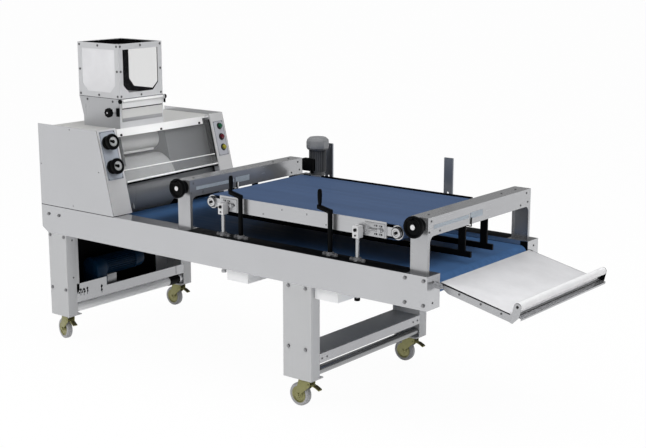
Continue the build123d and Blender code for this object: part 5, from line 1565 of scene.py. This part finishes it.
@dataclass
class OutfeedTray(Assembly):
    """Sloping tray with its folded sides and end stop, given in the tray's own tilted frame."""

    body: str = "outfeed_tray"
    pivot: Flat = (2803, 776)
    slope: float = 12.7
    near: float = 102
    far: float = 948
    start: float = -9
    sheet_end: float = 402
    side_end: float = 409
    end: float = 446
    top: float = 15
    low: float = -25
    fold: float = 2.5
    bend: Flat = (44, -5)
    pin: float = 10.5
    screw_x: Point = (104, 226, 341)
    screw_z: float = -3
    gap_end: float = 385
    shadow_line_x: Flat = (416, 420)
    stop: Flat = (415, 62)
    stop_radius: float = 19.8
    bracket: float = 5

    def build(self) -> None:
        """Add the tray's pieces."""
        tilt = Matrix.Rotation(math.radians(self.slope), 4, "Y")
        self.place = slide(self.pivot[0], 0, self.pivot[1]) @ tilt
        self._sheet()
        self._sides()
        self._lines()
        self._screws()
        self._stop()

    def _sheet(self) -> None:
        """White top sheet and the bare edge beyond the stop."""
        near, far, top, edge, end = self.near, self.far, self.top, self.sheet_end, self.end
        form = Form().block((self.start, near + 3, top - 2.5), (edge, far - 3, top), self.place, soften=0.9)
        form.finish("tray_top", TRAY_WHITE, self.body, "outfeed_tray")
        form = Form().block((edge, near, top - 3), (end, far, top - 0.4), self.place, soften=0.6)
        form.block((end - self.fold, near, top - 12), (end, far, top - 0.4), self.place, soften=0.6)
        form.finish("tray_edge", CROSS_STEEL, self.body)

    def _sides(self) -> None:
        """Folded sides with their hinge pins."""
        end, (bend, rise) = self.side_end, self.bend
        foot = [(end, self.low), (bend, self.low), (self.start, rise)]
        side = [(self.start, self.top), (end, self.top), *foot]
        form = Form()
        for y in (self.near + self.fold, self.far):
            form.plate(side, self.fold, self.place @ upright(y))
        for y in (self.near - self.pin, self.far):
            form.rod(6, self.pin, self.place @ crosswise(0, y, 0), 1)
        form.finish("tray_sides", CROSS_STEEL, self.body)

    def _lines(self) -> None:
        """Dark gap under the sheet's near edge, and a painted shadow line under the stop bar."""
        top, start, end, (shadow_start, shadow_end) = self.top, self.start + 2, self.gap_end, self.shadow_line_x
        gap = [(start, top - 7.5), (end, top - 5), (end, top), (start, top)]
        form = Form().plate(gap, 0.5, self.place @ upright(self.near))
        form.block((shadow_start, self.near + 1, top - 0.6), (shadow_end, self.far - 1, top - 0.1), self.place)
        form.finish("tray_gap_and_shadow_lines", SLOT_AND_SHADE_BLACK, self.body)

    def _screws(self) -> None:
        """Screws along the sides."""
        frames = [frame for x in self.screw_x for frame in both_sides(x, self.screw_z, self.near, self.far)]
        form = Form().screws([self.place @ frame for frame in frames], 5.5)
        form.finish("tray_screws", SCREW_STEEL, self.body)

    def _stop(self) -> None:
        """Round stop bar on its end brackets; the far bracket is black as painted shade."""
        (x, z), r, near, far, wide = self.stop, self.stop_radius, self.near, self.far, self.bracket
        form = Form().rod(r, far - near + 6, self.place @ crosswise(x, near - 3, z), 2, 40)
        form.finish("tray_stop_bar", WHITE_PLASTIC, self.body, slot="stainless")
        foot = [(x - r, self.low), (self.side_end, self.low), (x + r, self.top)]
        outline = foot + arc(self.stop, r, 0, 180, 12)
        # Painted shade: the far bracket is black, the near one steel.
        for name, y, finish in (("near", near, CROSS_STEEL), ("far", far + wide, BLACK_COAT)):
            form = Form().plate(outline, wide, self.place @ upright(y), soften=1)
            form.finish(f"tray_{name}_bracket", finish, self.body)
        screws = [self.place @ frame for frame in both_sides(x, z, near - wide, far + wide)]
        Form().screws(screws, 7, Head.FLAT).finish("tray_stop_screws", DARK_STEEL, self.body)


@dataclass
class Castor(Assembly):
    """One braked swivel castor; its swivel head is given by radius and drop below the top."""

    name: str
    x: float
    y: float
    swivel: float
    trail: float = -40
    radius: float = 62.5
    top: float = 159.7
    head: Outline = ((0, 14), (27, 14), (33, 10), (34, 6), (31, 3), (31, 0), (0, 0))
    plate_y: float = 24.5
    plate_depth: float = 4
    tyre: Outline = ((43, -15), (51, -17.4), (57, -17.6), (60, -15.4), (62, -11), (62.5, -5))
    disc: Outline = ((6.2, -19.2), (14, -19.2), (17, -17), (20, -13), (36, -12), (42, -15.6), (45, -16.4))
    fork_neck: Outline = ((41, 140), (38, 121))
    fork_foot: Outline = ((-22, 68), (-26, 52), (-40, 46.5), (-54, 52), (-57, 66))
    nut: Outline = ((0, 0), (9.6, 0), (10, 0.6), (10, 3.4), (9.6, 4), (0, 4))
    lever_under: Outline = ((26, 128.5), (32, 128), (68, 117.5), (92, 105.5))
    lever_top: Outline = ((92, 110.5), (68, 122.5), (32, 135.5), (26, 135.5))
    lever_width: float = 30
    pedal_pin: Flat = (30, 132)
    pad: Outline = ((60, 124.6), (67, 122.6), (92, 110.4), (92, 113.6), (68, 126), (60, 128.4))
    pad_width: float = 26

    def build(self) -> None:
        """Add the castor's pieces."""
        self.place = slide(self.x, self.y, 0) @ Matrix.Rotation(math.radians(self.swivel), 4, "Z")
        self.axle = self.place @ crosswise(self.trail, 0, self.radius)
        self._wheel()
        self._fork()
        self._pedal()

    def _wheel(self) -> None:
        """Tyre on a dished disc."""
        body = f"{self.name}_castor_wheel"
        form = Form().turned(doubled(self.tyre), self.axle, 48)
        form.finish(f"{self.name}_tyre", TREAD_PALE, body, body)
        form = Form().turned(doubled(self.disc), self.axle, 40)
        form.finish(f"{self.name}_wheel_disc", ZINC_YELLOW, body)

    def _fork(self) -> None:
        """Swivel head, side plates and axle nuts."""
        body, top, y, depth = f"{self.name}_castor_fork", self.top, self.plate_y, self.plate_depth
        head = [(radius, top - drop) for radius, drop in self.head]
        form = Form().turned(head, self.place, 36).rod(8, 6.3, self.place @ slide(0, 0, top), 0.6)
        form.block((-32, -y, top - 12), (34, y, top - 7), self.place, soften=1.5)
        side = ((-34, top - 8), (38, top - 8)) + self.fork_neck + self.fork_foot
        for back in (depth - y, y):
            form.plate(side, depth, self.place @ upright(back), corner=5, soften=0.8)
        form.rod(6, 2 * (y - depth), self.axle @ slide(0, 0, depth - y))
        for rise in (-y - 4, y):
            form.turned(self.nut, self.axle @ slide(0, 0, rise), 6)
        form.finish(f"{self.name}_fork_plates", ZINC_YELLOW, body, body)

    def _pedal(self) -> None:
        """Brake pedal with a bent tip and its rubber pad."""
        body, (x, z), y = f"{self.name}_castor_pedal", self.pedal_pin, self.plate_y
        lever = self.lever_under + self.lever_top
        form = Form().plate(lever, self.lever_width, self.place @ upright(self.lever_width / 2), soften=1)
        form.rod(4, 2 * y, self.place @ crosswise(x, -y, z))
        form.finish(f"{self.name}_pedal_lever", ZINC_YELLOW, body, body)
        form = Form().plate(self.pad, self.pad_width, self.place @ upright(self.pad_width / 2), soften=0.8)
        form.finish(f"{self.name}_pedal_pad", PEDAL_OLIVE, body)


# Stage


@dataclass
class Studio:
    """Pale floor, soft light and the camera; lamps and floor in metres, the camera's spot in millimetres."""

    spot: Point = (6084.5, -4925.7, 2397.4)
    azimuth: float = 38.53
    elevation: float = 12.45
    focal_pixels: float = 1297.65
    image_width: float = 646.0
    sensor: float = 36.0
    floor_size: float = 60.0
    floor_glow: float = 0.97
    middle: Point = (0.0, 0.0, 0.8)

    def build(self) -> None:
        """Make the stage."""
        self._floor()
        self._world()
        self._lamps()
        self._camera()

    def _seen(self, board: Board, *rays: str) -> Socket:
        """Mask of some kinds of rays.

        Args:
            board: Board of the tree that it goes into.
            rays: Kinds, as the Light Path node names them.

        Returns:
            The mask's socket.
        """
        path = board.add("ShaderNodeLightPath").outputs
        mask = path[f"Is {rays[0]} Ray"]
        for ray in rays[1:]:
            mask = board.math("MAXIMUM", mask, path[f"Is {ray} Ray"])
        return mask

    def _floor(self) -> None:
        """Wide pale floor that keeps the shadow."""
        form = bmesh.new()
        bmesh.ops.create_grid(form, x_segments=2, y_segments=2, size=self.floor_size)
        mesh = bpy.data.meshes.new("floor")
        form.to_mesh(mesh)
        form.free()
        floor = bpy.data.objects.new("floor", mesh)
        bpy.context.scene.collection.objects.link(floor)
        made = bpy.data.materials.new("pale_floor")
        made.use_nodes = True
        board, nodes = Board(made.node_tree), made.node_tree.nodes
        shader = nodes["Principled BSDF"]
        shader.inputs["Base Color"].default_value = (0.9, 0.9, 0.9, 1.0)
        shader.inputs["Roughness"].default_value = 0.9
        glow = board.add("ShaderNodeEmission", {"Color": WHITE})
        share = board.math("MULTIPLY", self._seen(board, "Camera", "Glossy", "Transmission"), self.floor_glow)
        mix = board.add("ShaderNodeMixShader", {0: share, 1: shader.outputs[0], 2: glow.outputs[0]})
        board.tree.links.new(mix.outputs[0], nodes["Material Output"].inputs["Surface"])
        mesh.materials.append(made)

    def _world(self) -> None:
        """White surround: soft as a light, darker overhead in mirrors, as under a hall's roof."""
        world = bpy.data.worlds.new("studio")
        bpy.context.scene.world = world
        world.use_nodes = True
        board, ground = Board(world.node_tree), world.node_tree.nodes["Background"]
        ground.inputs["Color"].default_value = WHITE
        coords = board.add("ShaderNodeTexCoord").outputs["Generated"]
        rise = board.add("ShaderNodeSeparateXYZ", {0: coords}).outputs["Z"]
        soft = board.spread(rise, 0.22, 0.75)
        mirrored = board.spread(board.math("MULTIPLY", rise, 6.0), 1.0, 0.12)
        ends = {0: self._seen(board, "Glossy"), 2: soft, 3: mirrored}
        light = board.add("ShaderNodeMix", ends, data_type="FLOAT").outputs[0]
        ends = {0: self._seen(board, "Camera", "Transmission"), 2: light, 3: 1.0}
        strength = board.add("ShaderNodeMix", ends, data_type="FLOAT").outputs[0]
        board.tree.links.new(strength, ground.inputs["Strength"])

    def _lamps(self) -> None:
        """Large soft lamps, and a narrow one on the head."""
        lamps = (
            ("key_lamp", (-2.0, -5.0, 6.0), self.middle, 4.0, 170.0, 180.0),
            ("side_lamp", (4.5, -1.2, 5.5), self.middle, 3.0, 100.0, 180.0),
            ("top_lamp", (0.5, 0.5, 6.0), self.middle, 5.0, 125.0, 180.0),
            ("head_lamp", (0.3, -0.25, 2.0), (-1.1, -0.05, 1.17), 0.5, 0.6, 30.0),
        )
        for name, spot, target, size, power, spread in lamps:
            lamp = bpy.data.lights.new(name, "AREA")
            lamp.size = size
            lamp.energy = power
            lamp.spread = math.radians(spread)
            holder = bpy.data.objects.new(name, lamp)
            holder.location = spot
            aim = Vector(target) - Vector(spot)
            holder.rotation_euler = aim.to_track_quat("-Z", "Y").to_euler()
            holder.visible_camera = False
            holder.visible_glossy = False
            bpy.context.scene.collection.objects.link(holder)

    def _camera(self) -> None:
        """Camera at the photograph's place."""
        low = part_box("side_beams")[0]
        camera = bpy.data.cameras.new("camera")
        camera.sensor_width = self.sensor
        camera.lens = self.sensor * self.focal_pixels / self.image_width
        camera.clip_end = 200.0
        holder = bpy.data.objects.new("camera", camera)
        round_z, rise = math.radians(self.azimuth), math.radians(self.elevation)
        level = Vector((math.sin(round_z), -math.cos(round_z), 0.0)) * math.cos(rise)
        back = level + Vector((0.0, 0.0, math.sin(rise)))
        right = Vector((math.cos(round_z), math.sin(round_z), 0.0))
        turn = Matrix((right, back.cross(right), back)).transposed().to_4x4()
        x, y, z = (length * MM for length in self.spot)
        holder.matrix_world = Matrix.Translation((x + low.x, y + low.y, z)) @ turn
        bpy.context.scene.collection.objects.link(holder)
        bpy.context.scene.camera = holder


def main() -> None:
    """Build the machine's looks, the stage and the camera."""
    logging.basicConfig(level=logging.INFO, format="%(name)s: %(message)s")
    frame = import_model()
    bpy.context.scene.view_settings.view_transform = "Standard"
    nodes = frame["nodes"]
    Studio().build()
    for kind in (Underframe, SheetingHead, Hopper, PressingConveyor, SideGuides, OutfeedTray):
        kind(nodes).build()
    castors = (
        ("near_infeed", 138, 50, -14),
        ("far_infeed", 138, 1000, 0),
        ("near_outfeed", 2013, 50, 0),
        ("far_outfeed", 2013, 1000, 0),
    )
    for name, x, y, swivel in castors:
        Castor(nodes, name, x, y, swivel).build()


if __name__ == "__main__":
    main()
